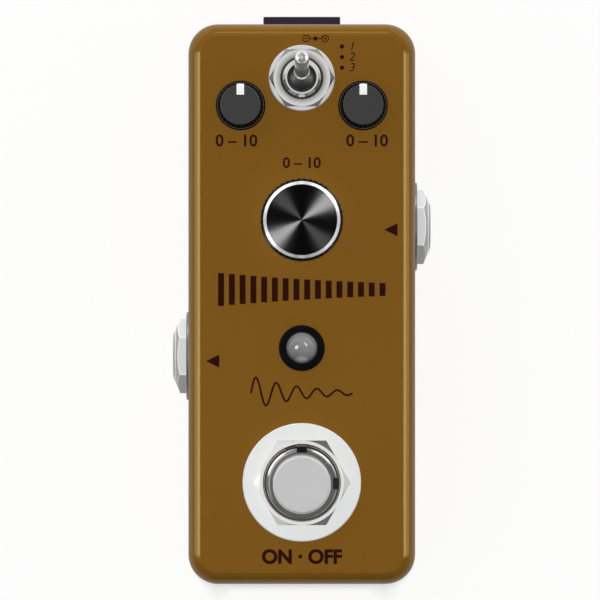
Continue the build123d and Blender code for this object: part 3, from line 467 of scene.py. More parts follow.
def spun_aluminium():
    material, tree, shader = start_finish(
        "aluminium_anodised_black_spun", SPUN_BLACK, SPUN_ROUGHNESS, Anisotropic=1.0,
        Anisotropic_Rotation=0.25, Specular_Tint=linear("#303030"),
    )
    centred, radius = from_axis(tree, knob_axis)
    ring = calc(
        tree, "COMPARE", radius, (bevel_inner + bevel_outer) / 2, (bevel_outer - bevel_inner) / 2,
    )
    outside = calc(tree, "GREATER_THAN", radius, bevel_outer)
    tone = blend(tree, ring, SPUN_BLACK, "#F8F8F8")
    tone = blend(tree, outside, tone, FLUTE_BLACK)
    gloss = ramp(tree, ring, SPUN_ROUGHNESS, BEVEL_ROUGHNESS)
    metal = ramp(tree, ring, 1.0, BEVEL_METALLIC)
    metal = ramp(tree, outside, metal, 0.0)
    grooves = add(tree, "ShaderNodeTexWave", {
        "Vector": centred, "Scale": WAVE_TURN / (GROOVE_MM * MM),
    }, wave_type="RINGS", rings_direction="Z")
    bump = add(tree, "ShaderNodeBump", {
        "Height": grooves.outputs["Fac"], "Distance": GROOVE_DEPTH_MM * MM,
    })
    round_axis = add(tree, "ShaderNodeTangent", direction_type="RADIAL", axis="Z")
    feed(tree, shader, Base_Color=tone, Roughness=gloss, Metallic=metal)
    feed(tree, shader, Normal=bump.outputs[0], Tangent=round_axis.outputs[0])
    return material


spun = spun_aluminium()
wear(spun, "time_knob")
print("made", spun.name, "bevel from", round(bevel_inner / MM, 2), "to", round(bevel_outer / MM, 2), "mm")

# %% [markdown]
# ## Plated metal
# Nuts, bushes and the lever are nickel plated over brass or steel, plain steel parts have zinc, and the
# contacts have tin. A polished thread mirrors the room, a nut from the tumbler is a little duller, and the
# button and the toggle's washer are satin. They share one function and differ in tone, in roughness and
# in how lumpy the plating is.


# %% Nickel, zinc and tin
def plated(name, dark, pale, rough_low, rough_high, grain_mm, metallic=1.0):
    material, tree, shader = start_finish(name, pale, rough_high, Metallic=metallic)
    vary_tone(tree, shader, size_mm=3.0, dark=dark, pale=pale)
    vary_gloss(tree, shader, size_mm=1.5, low=rough_low, high=rough_high)
    raise_grain(tree, shader, size_mm=grain_mm, height_mm=0.001)
    return material


# Name, darker and paler tone, lowest and highest roughness, size of the lumps in mm
polished = plated("nickel_plated_polished", "#D2D2D0", "#DEDEDC", 0.08, 0.14, 2.0)
tumbled = plated("nickel_plated_tumbled", "#DEDEDC", "#E8E8E6", 0.18, 0.24, 0.8)
frosted = plated("nickel_plated_frosted", "#E4E4E4", "#EAEAEA", 0.40, 0.46, 0.4, metallic=0.5)
satin = plated("nickel_plated_satin", "#C8C8C8", "#CECECE", 0.42, 0.48, 0.3, metallic=0.3)
zinc = plated("zinc_plated_steel", "#B4B6B8", "#C4C6C8", 0.34, 0.42, 0.5)
dark_zinc = plated("zinc_plated_black_passivated", "#70767C", "#7C8288", 0.30, 0.38, 0.5, metallic=0.6)
tin = plated("tinned_brass_stamped", "#BFB9A0", "#CFC9B0", 0.30, 0.40, 0.5)
wear(tumbled, "footswitch_nut")
wear(frosted, "toggle_washer")
wear(satin, "footswitch_button")
wear(zinc, "base_screws", "time_pot_shaft", "level_pot_shaft", "regen_pot_shaft", "toggle_lock_washer")
wear(zinc, "footswitch_inner_nut", "footswitch_lock_washer", "footswitch_spring")
wear(dark_zinc, "input_jack_washer", "output_jack_washer")
wear(tin, "pot_terminals", "toggle_terminals", "led_leads", "footswitch_lugs", "link_pins", "power_pin")
wear(tin, "power_terminals", "input_jack_contacts", "output_jack_contacts")
print("made", [m.name for m in (polished, tumbled, frosted, satin, zinc, dark_zinc, tin)])

# %% [markdown]
# The hollows of plated parts are painted nearly black as shade: the mouth of the toggle's bush, the
# lever's ball in it, and the thread and keyway of the footswitch. A hollow is the ellipsoid around a
# point, and inside it the plating is painted dark and dull. One very long half size makes a round hole,
# and three make a level.

# %% Nickel with a painted shaded hollow
LONG_MM = 1000.0
HOLLOW_SHADE_ROUGHNESS = 0.5


def nickel_with_painted_hollow(name, middle, half_sizes_mm, dark, pale, roughness, metallic=1.0, hollow_shade="#38383A"):
    """Plated nickel with painted shade inside an ellipsoid."""
    material, tree, shader = start_finish(name, pale, roughness, Metallic=1.0)
    place = add(tree, "ShaderNodeTexCoord")
    from_middle = vector(tree, "SUBTRACT", place.outputs["Object"], middle)
    shares = vector(tree, "DIVIDE", from_middle, [size * MM for size in half_sizes_mm])
    reach = vector(tree, "LENGTH", shares)
    # Painted shade: inside the ellipsoid the plating is dark and dull
    unshaded = calc(tree, "GREATER_THAN", reach, 1.0)
    lumps = clouds(tree, size_mm=3.0)
    plating = blend(tree, lumps, dark, pale)
    tone = blend(tree, unshaded, hollow_shade, plating)
    gloss = ramp(tree, unshaded, HOLLOW_SHADE_ROUGHNESS, roughness)
    metal = calc(tree, "MULTIPLY", unshaded, metallic)
    feed(tree, shader, Base_Color=tone, Roughness=gloss, Metallic=metal)
    raise_grain(tree, shader, size_mm=2.0, height_mm=0.001)
    return material


MOUTH_MM = 2.47
BALL_MM = 2.3
SHOULDER_MM = 0.36

frame_low, frame_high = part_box("toggle_frame")
bush_low, bush_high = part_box("footswitch_bush")
toggle_axis = (frame_low + frame_high) / 2
foot_axis = (bush_low + bush_high) / 2
tilt_joint = next(j for j in frame["joints"] if j["name"] == "toggle_tilt")
below_shoulder = foot_axis.copy()
below_shoulder.z = bush_high.z - (SHOULDER_MM + LONG_MM) * MM
mouth = nickel_with_painted_hollow(
    "nickel_plated_greasy_mouth", toggle_axis, (MOUTH_MM, MOUTH_MM, LONG_MM), "#BEBEBC", "#CACAC8",
    roughness=0.11, metallic=0.75,
)
ball = nickel_with_painted_hollow(
    "nickel_plated_greasy_ball", tilt_joint["pos_m"], (BALL_MM, BALL_MM, BALL_MM), "#D2D2D0", "#DEDEDC",
    roughness=0.14, metallic=0.8, hollow_shade="#303030",
)
shoulder = nickel_with_painted_hollow(
    "nickel_plated_greasy_thread", below_shoulder, (LONG_MM, LONG_MM, LONG_MM), "#C8C8C6", "#D4D4D2",
    roughness=0.15, hollow_shade="#202022",
)
wear(mouth, "toggle_frame")
wear(ball, "toggle_lever")
wear(shoulder, "footswitch_bush")
print("made", [m.name for m in (mouth, ball, shoulder)])

# %% [markdown]
# The toggle's nut is painted darker beside its thread as shade and paler towards its edge as a painted
# highlight, so its tone follows the distance from the axis.

# %% Nickel with painted shade beside the thread
SHADED_R_MM = 3.4
LIT_R_MM = 4.7


def nickel_with_painted_shade_by_thread():
    material, tree, shader = start_finish("nickel_plated_worn", "#B0B0AE", roughness=0.25, Metallic=1.0)
    radius = from_axis(tree, toggle_axis)[1]
    # Painted shade near the thread, fading to a painted highlight towards the edge
    highlight_and_wear = ramp(tree, radius, 0.0, 1.0, (SHADED_R_MM * MM, LIT_R_MM * MM), smooth=True)
    tone = blend(tree, highlight_and_wear, "#949492", "#DCDCDA")
    feed(tree, shader, Base_Color=tone)
    vary_gloss(tree, shader, size_mm=1.5, low=0.22, high=0.28)
    raise_grain(tree, shader, size_mm=0.8, height_mm=0.001)
    return material


thread_shaded_nickel = nickel_with_painted_shade_by_thread()
wear(thread_shaded_nickel, "toggle_nut")
print("made", thread_shaded_nickel.name)

# %% [markdown]
# The jacks' hexagon flats are plated bright, and the cone on top of them is painted darker as shade.
# The cone faces along the jack's axis and the flats face across it, so the normal tells them apart. A
# pale line is painted along the edges, partly wear where spanners rub the plating and partly a painted
# highlight: there, a normal that is rounded over the edge leaves the true one.

# %% Nickel flats with a painted shaded cone
CONE_FACING = 0.5
EDGE_MM = 0.25
EDGE_HIGHLIGHT_SPAN = (0.995, 0.96)


def nickel_with_painted_cone_shade():
    material, tree, shader = start_finish(
        "nickel_plated_turned_cone", "#C6C6C6", roughness=0.25, Metallic=0.1,
    )
    surface = add(tree, "ShaderNodeNewGeometry")
    facing = add(tree, "ShaderNodeSeparateXYZ", {0: surface.outputs["Normal"]})
    along = calc(tree, "ABSOLUTE", facing.outputs["X"])
    cone = calc(tree, "GREATER_THAN", along, CONE_FACING)
    # Painted shade: the cone is darker than the flats
    tone = blend(tree, cone, "#C6C6C6", "#949494")
    # A pale line along the edges, partly wear and partly painted highlight
    rounded = add(tree, "ShaderNodeBevel", {"Radius": EDGE_MM * MM}, samples=8)
    alike = vector(tree, "DOT_PRODUCT", rounded.outputs[0], surface.outputs["Normal"])
    highlight_and_wear = ramp(tree, alike, 0.0, 1.0, EDGE_HIGHLIGHT_SPAN)
    tone = blend(tree, highlight_and_wear, tone, "#F2F2F2")
    feed(tree, shader, Base_Color=tone)
    vary_gloss(tree, shader, size_mm=1.5, low=0.22, high=0.28)
    return material


jack_nickel = nickel_with_painted_cone_shade()
wear(jack_nickel, "input_jack_nut", "output_jack_nut", "input_jack_bush", "output_jack_bush")
print("made", jack_nickel.name)

# %% [markdown]
# ## Plastics and boards
# The bezel, the sockets and the cases are injection moulded: dark colour all through, a faint sparkle from
# the mould's texture. The washer under the footswitch is matt white nylon, the capacitors wear a shrunk
# sleeve and the boards a green mask.

# %% Moulded plastics and boards
GLOSS_SPREAD = 0.04


def moulded(name, dark, pale, roughness, grain_mm, height_mm, shine=0.5):
    material, tree, shader = start_finish(name, pale, roughness, Specular_IOR_Level=shine)
    vary_tone(tree, shader, size_mm=2.0, dark=dark, pale=pale)
    vary_gloss(tree, shader, size_mm=1.0, low=roughness - GLOSS_SPREAD, high=roughness + GLOSS_SPREAD)
    raise_grain(tree, shader, size_mm=grain_mm, height_mm=height_mm)
    return material


# Name, darker and paler tone, roughness, size and height of the grain in mm
charcoal_abs = moulded("abs_charcoal_moulded", "#2C2631", "#342D39", 0.45, 0.4, 0.001, shine=0.1)
black_abs = moulded("abs_black_moulded", "#090B0E", "#0D0F13", 0.4, 0.4, 0.001, shine=0.06)
white_nylon = moulded("nylon_white_moulded", "#E0E2E1", "#E6E8E7", 0.55, 0.5, 0.001)
inlay = moulded("abs_white_moulded", "#F0F0EE", "#F6F6F4", 0.45, 0.5, 0.001)
core = moulded("nylon_natural_moulded", "#D2CCBE", "#DCD6C8", 0.5, 0.5, 0.001)
mask = moulded("laminate_solder_mask_green", "#1B4429", "#235232", 0.35, 0.6, 0.002)
sleeve = moulded("pvc_sleeve_shrunk_on_can", "#26262E", "#303038", 0.4, 0.8, 0.002)
wear(charcoal_abs, "power_socket")
wear(black_abs, "led_bezel", "time_pot_body", "level_pot_body", "regen_pot_body", "toggle_body")
wear(black_abs, "footswitch_body", "input_jack_body", "output_jack_body", "link_header", "echo_chips")
wear(white_nylon, "footswitch_washer")
wear(inlay, "level_pointer", "regen_pointer")
wear(core, "time_knob_core")
wear(mask, "main_board", "switch_board")
wear(sleeve, "filter_capacitors")
print("made", [m.name for m in (charcoal_abs, black_abs, white_nylon, inlay, core, mask, sleeve)])

# %% [markdown]
# ## Small knobs
# The small knobs are moulded too, black on the fluted side and skirt, with a dull dark grey face. Height
# and the distance from the axis tell the two apart. A thin pale line is painted as a highlight along the
# edge of the face and along the edge of the skirt, and the same distance finds both.

# %% Black plastic with a dull face
FACE_EDGE_MM = 0.12
FACE_IN_MM = 0.86
FACE_ROUGHNESS = 0.6
SIDE_ROUGHNESS = 0.45
SIDE_BLACK = "#08090C"
RIM_IN_MM = 0.28
RIM_MM = 0.08

small_low, small_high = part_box("regen_knob")
small_axis = (small_low + small_high) / 2
small_top = small_high.z
skirt_r = (small_high.x - small_low.x) / 2


def capped_abs():
    material, tree, shader = start_finish(
        "abs_black_moulded_dull_face", SIDE_BLACK, SIDE_ROUGHNESS, Specular_IOR_Level=0.03,
    )
    place = add(tree, "ShaderNodeTexCoord")
    spot = add(tree, "ShaderNodeSeparateXYZ", {0: place.outputs["Object"]})
    sideways = calc(tree, "ABSOLUTE", spot.outputs["X"])
    flat = add(tree, "ShaderNodeCombineXYZ", {"X": sideways, "Y": spot.outputs["Y"]})
    centred = vector(tree, "SUBTRACT", flat.outputs[0], (small_axis.x, small_axis.y, 0))
    radius = vector(tree, "LENGTH", centred)
    high = calc(tree, "GREATER_THAN", spot.outputs["Z"], small_top - FACE_EDGE_MM * MM)
    inside = calc(tree, "LESS_THAN", radius, skirt_r - FACE_IN_MM * MM)
    face = calc(tree, "MULTIPLY", high, inside)
    tone = blend(tree, face, SIDE_BLACK, "#3E3E3E")
    # Painted highlights: a thin pale line along the edge of the skirt and along the edge of the face
    for inset in (RIM_IN_MM, FACE_IN_MM):
        highlight_rim = calc(tree, "COMPARE", radius, skirt_r - inset * MM, RIM_MM / 2 * MM)
        tone = blend(tree, highlight_rim, tone, "#545458")
    gloss = ramp(tree, face, SIDE_ROUGHNESS, FACE_ROUGHNESS)
    feed(tree, shader, Base_Color=tone, Roughness=gloss)
    raise_grain(tree, shader, size_mm=0.35, height_mm=0.001)
    return material


capped = capped_abs()
wear(capped, "level_knob", "regen_knob")
print("made", capped.name, "face out to", round(skirt_r / MM - FACE_IN_MM, 2), "mm from the axis")

# %% [markdown]
# ## Rubber pad
# The pad under the base is ribbed so that it grips. The ribs are a millimetre and a half apart, and a
# wave texture raises them.

# %% Ribbed rubber
RIB_MM = 1.5
RIB_HEIGHT_MM = 0.25


def ribbed_rubber():
    material, tree, shader = start_finish(
        "rubber_black_moulded_ribbed", "#1B1B1B", roughness=0.75, IOR=1.52,
    )
    place = add(tree, "ShaderNodeTexCoord")
    ribs = add(tree, "ShaderNodeTexWave", {
        "Vector": place.outputs["Object"], "Scale": WAVE_TURN / (RIB_MM * MM),
    }, bands_direction="Y")
    bump = add(tree, "ShaderNodeBump", {"Height": ribs.outputs["Fac"], "Distance": RIB_HEIGHT_MM * MM})
    vary_tone(tree, shader, size_mm=1.0, dark="#171717", pale="#202020")
    feed(tree, shader, Normal=bump.outputs[0])
    return material


rubber = ribbed_rubber()
wear(rubber, "base_pad")
print("made", rubber.name)

# %% [markdown]
# ## Lamp
# The lamp is cast in water-clear epoxy that has gone a little milky, so it shows grey when unlit: part
# of the light goes through to the dark hole and the wires, and part scatters back. A pale patch towards
# the front is a painted highlight where light gathers inside the dome, and the edge against the bezel is
# painted nearly black as shade.

# %% Milky epoxy
LENS_SHADE_MM = 0.27
LIT_PATCH_X = 1.5 * MM
LIT_PATCH_Y = 0.75 * MM
LIT_PATCH_OUT = 1.95 * MM
LIT_PATCH_SPAN = (1.0, 0.3)

lens_low, lens_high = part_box("led_lens")
lens_axis = (lens_low + lens_high) / 2
lens_r = (lens_high.x - lens_low.x) / 2


def milky_epoxy():
    material, tree, shader = start_finish(
        "epoxy_clear_cast_milky", "#808080", roughness=0.08, IOR=1.5, Transmission_Weight=0.2,
    )
    noise = clouds(tree, size_mm=1.2)
    milk = blend(tree, noise, "#7E7E7E", "#929292")
    # Painted highlight: a pale patch towards the front of the dome
    place = add(tree, "ShaderNodeTexCoord")
    from_lit_patch = add(tree, "ShaderNodeMapping", {
        "Vector": place.outputs["Object"], "Scale": (1 / LIT_PATCH_X, 1 / LIT_PATCH_Y, 0),
        "Location": (-lens_axis.x / LIT_PATCH_X, (LIT_PATCH_OUT - lens_axis.y) / LIT_PATCH_Y, 0),
    })
    spread = vector(tree, "LENGTH", from_lit_patch.outputs[0])
    lit_patch = ramp(tree, spread, 0.0, 1.0, LIT_PATCH_SPAN, smooth=True)
    milk = blend(tree, lit_patch, milk, "#C8C8C8")
    # Painted shade: the edge against the bezel is nearly black
    radius = from_axis(tree, lens_axis)[1]
    edge = calc(tree, "GREATER_THAN", radius, lens_r - LENS_SHADE_MM * MM)
    tone = blend(tree, edge, milk, "#0C0C0E")
    feed(tree, shader, Base_Color=tone)
    return material


epoxy = milky_epoxy()
wear(epoxy, "led_lens")
print("made", epoxy.name)

# %% [markdown]
# ## Growing pieces with Geometry Nodes
# A thread, a spring and rows of marks all repeat or follow a rule, so each is a small node tree with its
# sizes as named inputs. One function starts such a tree, one closes it, and one runs it with real sizes
# and keeps the result as a plain mesh, because the export can't carry modifiers that make instances.


# %% Start a tree, and run one
def start_tree(name, sizes, counts=()):
    """Tree with an input for each size and count, a place and a material; and its end nodes."""
    tree = bpy.data.node_groups.new(name, "GeometryNodeTree")
    kinds = {size: "NodeSocketFloat" for size in sizes}
    kinds.update({count: "NodeSocketInt" for count in counts})
    kinds.update({"Place": "NodeSocketVector", "Material": "NodeSocketMaterial"})
    for label, kind in kinds.items():
        tree.interface.new_socket(label, in_out="INPUT", socket_type=kind)
    tree.interface.new_socket("Geometry", in_out="OUTPUT", socket_type="NodeSocketGeometry")
    return tree, add(tree, "NodeGroupInput"), add(tree, "NodeGroupOutput")


def end_tree(tree, sink, geometry, sizes):
    """Close a tree: real geometry, one material, out."""
    real = add(tree, "GeometryNodeRealizeInstances", {0: geometry})
    dressed = add(tree, "GeometryNodeSetMaterial", {
        0: real.outputs[0], "Material": sizes.outputs["Material"],
    })
    tree.links.new(dressed.outputs[0], sink.inputs[0])


def grow(name, tree, **sizes):
    """Run a tree with these sizes and keep what it makes as a plain mesh."""
    piece = bpy.data.objects.new(name, bpy.data.meshes.new(name))
    scene.collection.objects.link(piece)
    modifier = piece.modifiers.new(tree.name, "NODES")
    modifier.node_group = tree
    for item in tree.interface.items_tree:
        if item.in_out == "INPUT":
            modifier[item.identifier] = sizes[item.name.replace(" ", "_").lower()]
    shape = piece.evaluated_get(bpy.context.evaluated_depsgraph_get())
    mesh = bpy.data.meshes.new_from_object(shape)
    piece.modifiers.remove(modifier)
    piece.data = mesh
    return piece


print("ready to grow pieces")

# %% [markdown]
# ## Thread
# The footswitch's bush is threaded, and the solids leave that out. One turn of ridge is a spiral swept
# with a diamond, stopped short on both sides of the keyway, and the turns are stacked a pitch apart. The
# toggle's bush stands too little out of its nut to show a whole turn, so it gets none.

# %% Thread tree
TURN_STEPS = 96
THREAD_SIZES = ("Radius", "Pitch", "Ridge", "Part", "Start")

thread_tree, sizes, sink = start_tree("thread", THREAD_SIZES, counts=["Turns"])
rise = calc(thread_tree, "MULTIPLY", sizes.outputs["Pitch"], sizes.outputs["Part"])
turn = add(thread_tree, "GeometryNodeCurveSpiral", {
    "Resolution": TURN_STEPS, "Rotations": sizes.outputs["Part"], "Start Radius": sizes.outputs["Radius"],
    "End Radius": sizes.outputs["Radius"], "Height": rise,
})
upright = add(thread_tree, "GeometryNodeSetCurveNormal", {0: turn.outputs[0]}, mode="Z_UP")
diamond = add(thread_tree, "GeometryNodeCurvePrimitiveCircle", {
    "Resolution": 4, "Radius": sizes.outputs["Ridge"],
})
ridge = add(thread_tree, "GeometryNodeCurveToMesh", {
    "Curve": upright.outputs[0], "Profile Curve": diamond.outputs[0], "Fill Caps": True,
})
facing = add(thread_tree, "ShaderNodeCombineXYZ", {"Z": sizes.outputs["Start"]})
begun = add(thread_tree, "GeometryNodeTransform", {
    0: ridge.outputs[0], "Translation": sizes.outputs["Place"], "Rotation": facing.outputs[0],
})
step = add(thread_tree, "ShaderNodeCombineXYZ", {"Z": sizes.outputs["Pitch"]})
stack = add(thread_tree, "GeometryNodeMeshLine", {
    "Count": sizes.outputs["Turns"], "Offset": step.outputs[0],
})
turns = add(thread_tree, "GeometryNodeInstanceOnPoints", {
    0: stack.outputs[0], "Instance": begun.outputs[0],
})
end_tree(thread_tree, sink, turns.outputs[0], sizes)
print("thread tree has", len(thread_tree.nodes), "nodes")

# %% Thread on the footswitch's bush
RIDGE_MM = 0.2
RIDGE_SUNK_MM = 0.06
RIDGE_GAP_MM = 0.1


def thread(name, bush, nut, bush_r_mm, lip_mm, pitch_mm, key_mm, key_side):
    """Ridges on the part of a bush that stands out of its nut, with a gap at its keyway."""
    bush_low, bush_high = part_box(bush)
    nut_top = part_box(nut)[1].z
    axis = (bush_low + bush_high) / 2
    first = nut_top + (RIDGE_MM + RIDGE_GAP_MM) * MM
    last = bush_high.z - (lip_mm + RIDGE_MM) * MM
    count = int((last - first) / (pitch_mm * MM))
    half_gap = math.asin((key_mm / 2 + RIDGE_GAP_MM) / bush_r_mm)
    piece = grow(
        name, thread_tree, radius=(bush_r_mm - RIDGE_SUNK_MM) * MM, pitch=pitch_mm * MM, turns=count,
        ridge=RIDGE_MM * MM, part=1 - half_gap / math.pi, start=key_side * math.pi / 2 + half_gap,
        place=(axis.x, axis.y, first), material=polished,
    )
    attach(piece, "pedal")
    print(name, "has", count, "turns and", len(piece.data.polygons), "faces")


thread(
    "footswitch_thread", "footswitch_bush", "footswitch_nut", bush_r_mm=6.25, lip_mm=1.25, pitch_mm=0.75,
    key_mm=1.7, key_side=1,
)

# %% [markdown]
# ## Return spring
# The spring under the button is hidden, but it has to shorten when the button goes down. The solid one
# can't, so a round-wire coil takes its place.

# %% Spring
WIRE_MM = 0.8
WIRE_SIDES = 12
COILS = 4.0
COIL_STEPS = 48
SPRING_SIZES = ("Radius", "Height", "Turns", "Wire")

spring_tree, sizes, sink = start_tree("spring", SPRING_SIZES)
helix = add(spring_tree, "GeometryNodeCurveSpiral", {
    "Resolution": COIL_STEPS, "Rotations": sizes.outputs["Turns"], "Start Radius": sizes.outputs["Radius"],
    "End Radius": sizes.outputs["Radius"], "Height": sizes.outputs["Height"],
})
section = add(spring_tree, "GeometryNodeCurvePrimitiveCircle", {
    "Resolution": WIRE_SIDES, "Radius": sizes.outputs["Wire"],
})
wire = add(spring_tree, "GeometryNodeCurveToMesh", {
    "Curve": helix.outputs[0], "Profile Curve": section.outputs[0], "Fill Caps": True,
})
placed = add(spring_tree, "GeometryNodeTransform", {
    0: wire.outputs[0], "Translation": sizes.outputs["Place"],
})
end_tree(spring_tree, sink, placed.outputs[0], sizes)

spring_low, spring_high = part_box("footswitch_spring")
spring_axis = (spring_low + spring_high) / 2
length = spring_high.z - spring_low.z
spring = grow(
    "return_spring", spring_tree, radius=(spring_high.x - spring_low.x - WIRE_MM * MM) / 2,
    height=length - WIRE_MM * MM, turns=COILS, wire=WIRE_MM / 2 * MM,
    place=(spring_axis.x, spring_axis.y, spring_low.z + WIRE_MM / 2 * MM), material=zinc,
)
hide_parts("footswitch_spring")
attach(spring, "pedal")
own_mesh(spring)

# %% [markdown]
# ## Print on the panel
# Screen printing leaves a thin film of dark brown ink. Marks with plain outlines are flat curves with a
# little thickness, words are text, and both become meshes that lie on the panel. The words are only
# plain numbers and ON and OFF.

# %% Ink, and marks from outlines or text
INK_MM = 0.03


def screen_ink():
    material, tree, shader = start_finish(
        "ink_brown_screen_printed", "#280D0A", roughness=0.5, Specular_IOR_Level=0.08,
    )
    vary_tone(tree, shader, size_mm=0.8, dark="#260B08", pale="#2C110D")
    raise_grain(tree, shader, size_mm=0.3, height_mm=0.001)
    return material


ink = screen_ink()


def lay_print(name, curve, x, y):
    """Turn a flat curve or text into a mesh that lies on the panel at a place in plan."""
    curve.extrude = INK_MM / 2 * MM
    drawn = bpy.data.objects.new(name, curve)
    scene.collection.objects.link(drawn)
    mesh = bpy.data.meshes.new_from_object(drawn.evaluated_get(bpy.context.evaluated_depsgraph_get()))
    bpy.data.objects.remove(drawn)
    mesh.transform(Matrix.Translation((x, y, panel_z + INK_MM / 2 * MM)))
    mesh.materials.clear()
    mesh.materials.append(ink)
    piece = bpy.data.objects.new(name, mesh)
    scene.collection.objects.link(piece)
    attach(piece, "pedal")
    return piece


def outline_print(name, outlines, x, y):
    """Filled marks: each outline is a list of points in millimetres, and one inside another is a hole."""
    curve = bpy.data.curves.new(name, "CURVE")
    curve.dimensions = "2D"
    curve.fill_mode = "BOTH"
    for outline in outlines:
        spline = curve.splines.new("POLY")
        spline.points.add(len(outline) - 1)
        for point, (px, py) in zip(spline.points, outline):
            point.co = (px * MM, py * MM, 0, 1)
        spline.use_cyclic_u = True
    return lay_print(name, curve, x, y)


def text_print(name, words, size_mm, x, y, slant=0.0, weight_mm=0.0):
    """Words centred on a place; weight swells the strokes."""
    text = bpy.data.curves.new(name, "FONT")
    text.body = words
    text.size = size_mm * MM
    text.shear = slant
    text.offset = weight_mm * MM
    text.align_x = "CENTER"
    text.align_y = "CENTER"
    return lay_print(name, text, x, y)


print("made", ink.name)

# %% [markdown]
# ## Arrows, switch positions and polarity
# An arrow beside each jack points the way the signal goes, three numbered dots mark the positions of the
# toggle, and the standard sign for a power socket shows which contact is negative.

# %% Signs
ARROW_MM = 2.2
ARROW_INSET_MM = 4.1
ARROW_FORWARD_MM = 0.7
POSITION_X_MM = 6.72
POSITION_TOP_MM = 5.29
POSITION_STEP_MM = 1.775
NUMBER_GAP_MM = 1.6
NUMBER_MM = 2.0
NUMBER_SLANT = 0.25
DOT_R_MM = 0.36
DOT_STEPS = 24
SIGN_RING_MM = 0.62
SIGN_STROKE_MM = 0.15
SIGN_REACH_MM = 1.6
SIGN_GAP_MM = 0.03
SIGN_X_MM = 2.3
SIGN_Y_MM = 6.62


def disc(x, y, radius):
    """Round outline about a point."""
    angles = [2 * math.pi * n / DOT_STEPS for n in range(DOT_STEPS)]
    return [(x + radius * math.cos(a), y + radius * math.sin(a)) for a in angles]


def bar(x, y, width, height):
    """Rectangular outline about a point."""
    return [(x + sx * width / 2, y + sy * height / 2) for sx, sy in ((-1, -1), (1, -1), (1, 1), (-1, 1))]


def plus(x, y, reach, stroke):
    """Outline of a plus sign about a point, its arms drawn one after another."""
    arm = [(stroke / 2, -stroke / 2), (reach / 2, -stroke / 2), (reach / 2, stroke / 2)]
    quarters = [(1, 0), (0, 1), (-1, 0), (0, -1)]
    return [(x + c * px - s * py, y + s * px + c * py) for c, s in quarters for px, py in arm]


arrow = [(-ARROW_MM / 2, 0), (ARROW_MM / 2, -ARROW_MM / 2), (ARROW_MM / 2, ARROW_MM / 2)]
for name, side in (("input", 1), ("output", -1)):
    jack_low, jack_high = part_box(f"{name}_jack_nut")
    arrow_x = side * (box_high.x - ARROW_INSET_MM * MM)
    arrow_y = (jack_low.y + jack_high.y) / 2 - ARROW_FORWARD_MM * MM
    outline_print(f"{name}_arrow", [arrow], arrow_x, arrow_y)

toggle_low, toggle_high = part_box("toggle_washer")
toggle_x, toggle_y = (toggle_low.x + toggle_high.x) / 2, (toggle_low.y + toggle_high.y) / 2
for n in range(3):
    dot_y = toggle_y + (POSITION_TOP_MM - n * POSITION_STEP_MM) * MM
    outline_print(f"position_dot_{n + 1}", [disc(0, 0, DOT_R_MM)], toggle_x + POSITION_X_MM * MM, dot_y)
    number_x = toggle_x + (POSITION_X_MM + NUMBER_GAP_MM) * MM
    text_print(f"position_number_{n + 1}", str(n + 1), NUMBER_MM, number_x, dot_y, slant=NUMBER_SLANT)

inner_r = SIGN_RING_MM - SIGN_STROKE_MM
sign = [disc(0, 0, DOT_R_MM)]
for side in (-1, 1):
    middle = side * SIGN_REACH_MM
    lead = SIGN_REACH_MM - SIGN_RING_MM - DOT_R_MM - 2 * SIGN_GAP_MM
    sign += [disc(middle, 0, SIGN_RING_MM), disc(middle, 0, inner_r)]
    sign.append(bar(side * (DOT_R_MM + SIGN_GAP_MM + lead / 2), 0, lead, SIGN_STROKE_MM))
sign.append(bar(-SIGN_REACH_MM, 0, inner_r, SIGN_STROKE_MM))
sign.append(plus(SIGN_REACH_MM, 0, inner_r, SIGN_STROKE_MM))
outline_print("polarity_sign", sign, toggle_x + SIGN_X_MM * MM, toggle_y + SIGN_Y_MM * MM)
print("arrows, positions and sign printed")

# %% [markdown]
# ## Numbers at the dials and at the footswitch
# Each dial has its range printed beside it, and the footswitch says what it does.

# %% Words
RANGE = "0 – 10"
RANGE_WEIGHT_MM = 0.05
SMALL_RANGE_MM = 2.75
SMALL_RANGE_OUT_MM = 0.7
SMALL_RANGE_DOWN_MM = 5.95
LARGE_RANGE_MM = 2.5
LARGE_RANGE_UP_MM = 9.55
FOOT_WORDS_MM = 3.2
FOOT_WORDS_DOWN_MM = 12.55
FOOT_WORDS_WEIGHT_MM = 0.13

for name, side in (("level", -1), ("regen", 1)):
    range_x = side * (small_axis.x + SMALL_RANGE_OUT_MM * MM)
    range_y = small_axis.y - SMALL_RANGE_DOWN_MM * MM
    text_print(f"{name}_range", RANGE, SMALL_RANGE_MM, range_x, range_y, weight_mm=RANGE_WEIGHT_MM)
text_print(
    "time_range", RANGE, LARGE_RANGE_MM, knob_axis.x, knob_axis.y + LARGE_RANGE_UP_MM * MM,
    weight_mm=RANGE_WEIGHT_MM,
)
text_print(
    "footswitch_words", "ON · OFF", FOOT_WORDS_MM, foot_axis.x, foot_axis.y - FOOT_WORDS_DOWN_MM * MM,
    weight_mm=FOOT_WORDS_WEIGHT_MM,
)
print("words printed")

# %% [markdown]
# ## Echo bars
# Across the middle of the panel a row of bars dies away to the right, as an echo does. Each bar is the
# same box, and its height follows from its place in the row.

# %% Bars
BAR_COUNT = 16
BAR_STEP_MM = 1.8
BAR_WIDTH_MM = 1.0
BAR_HEIGHT_MM = 5.5
BAR_KEEP = 0.94
BARS_UP_MM = 9.8
BAR_SIZES = ("Step", "Width", "Height", "Keep", "Thickness")

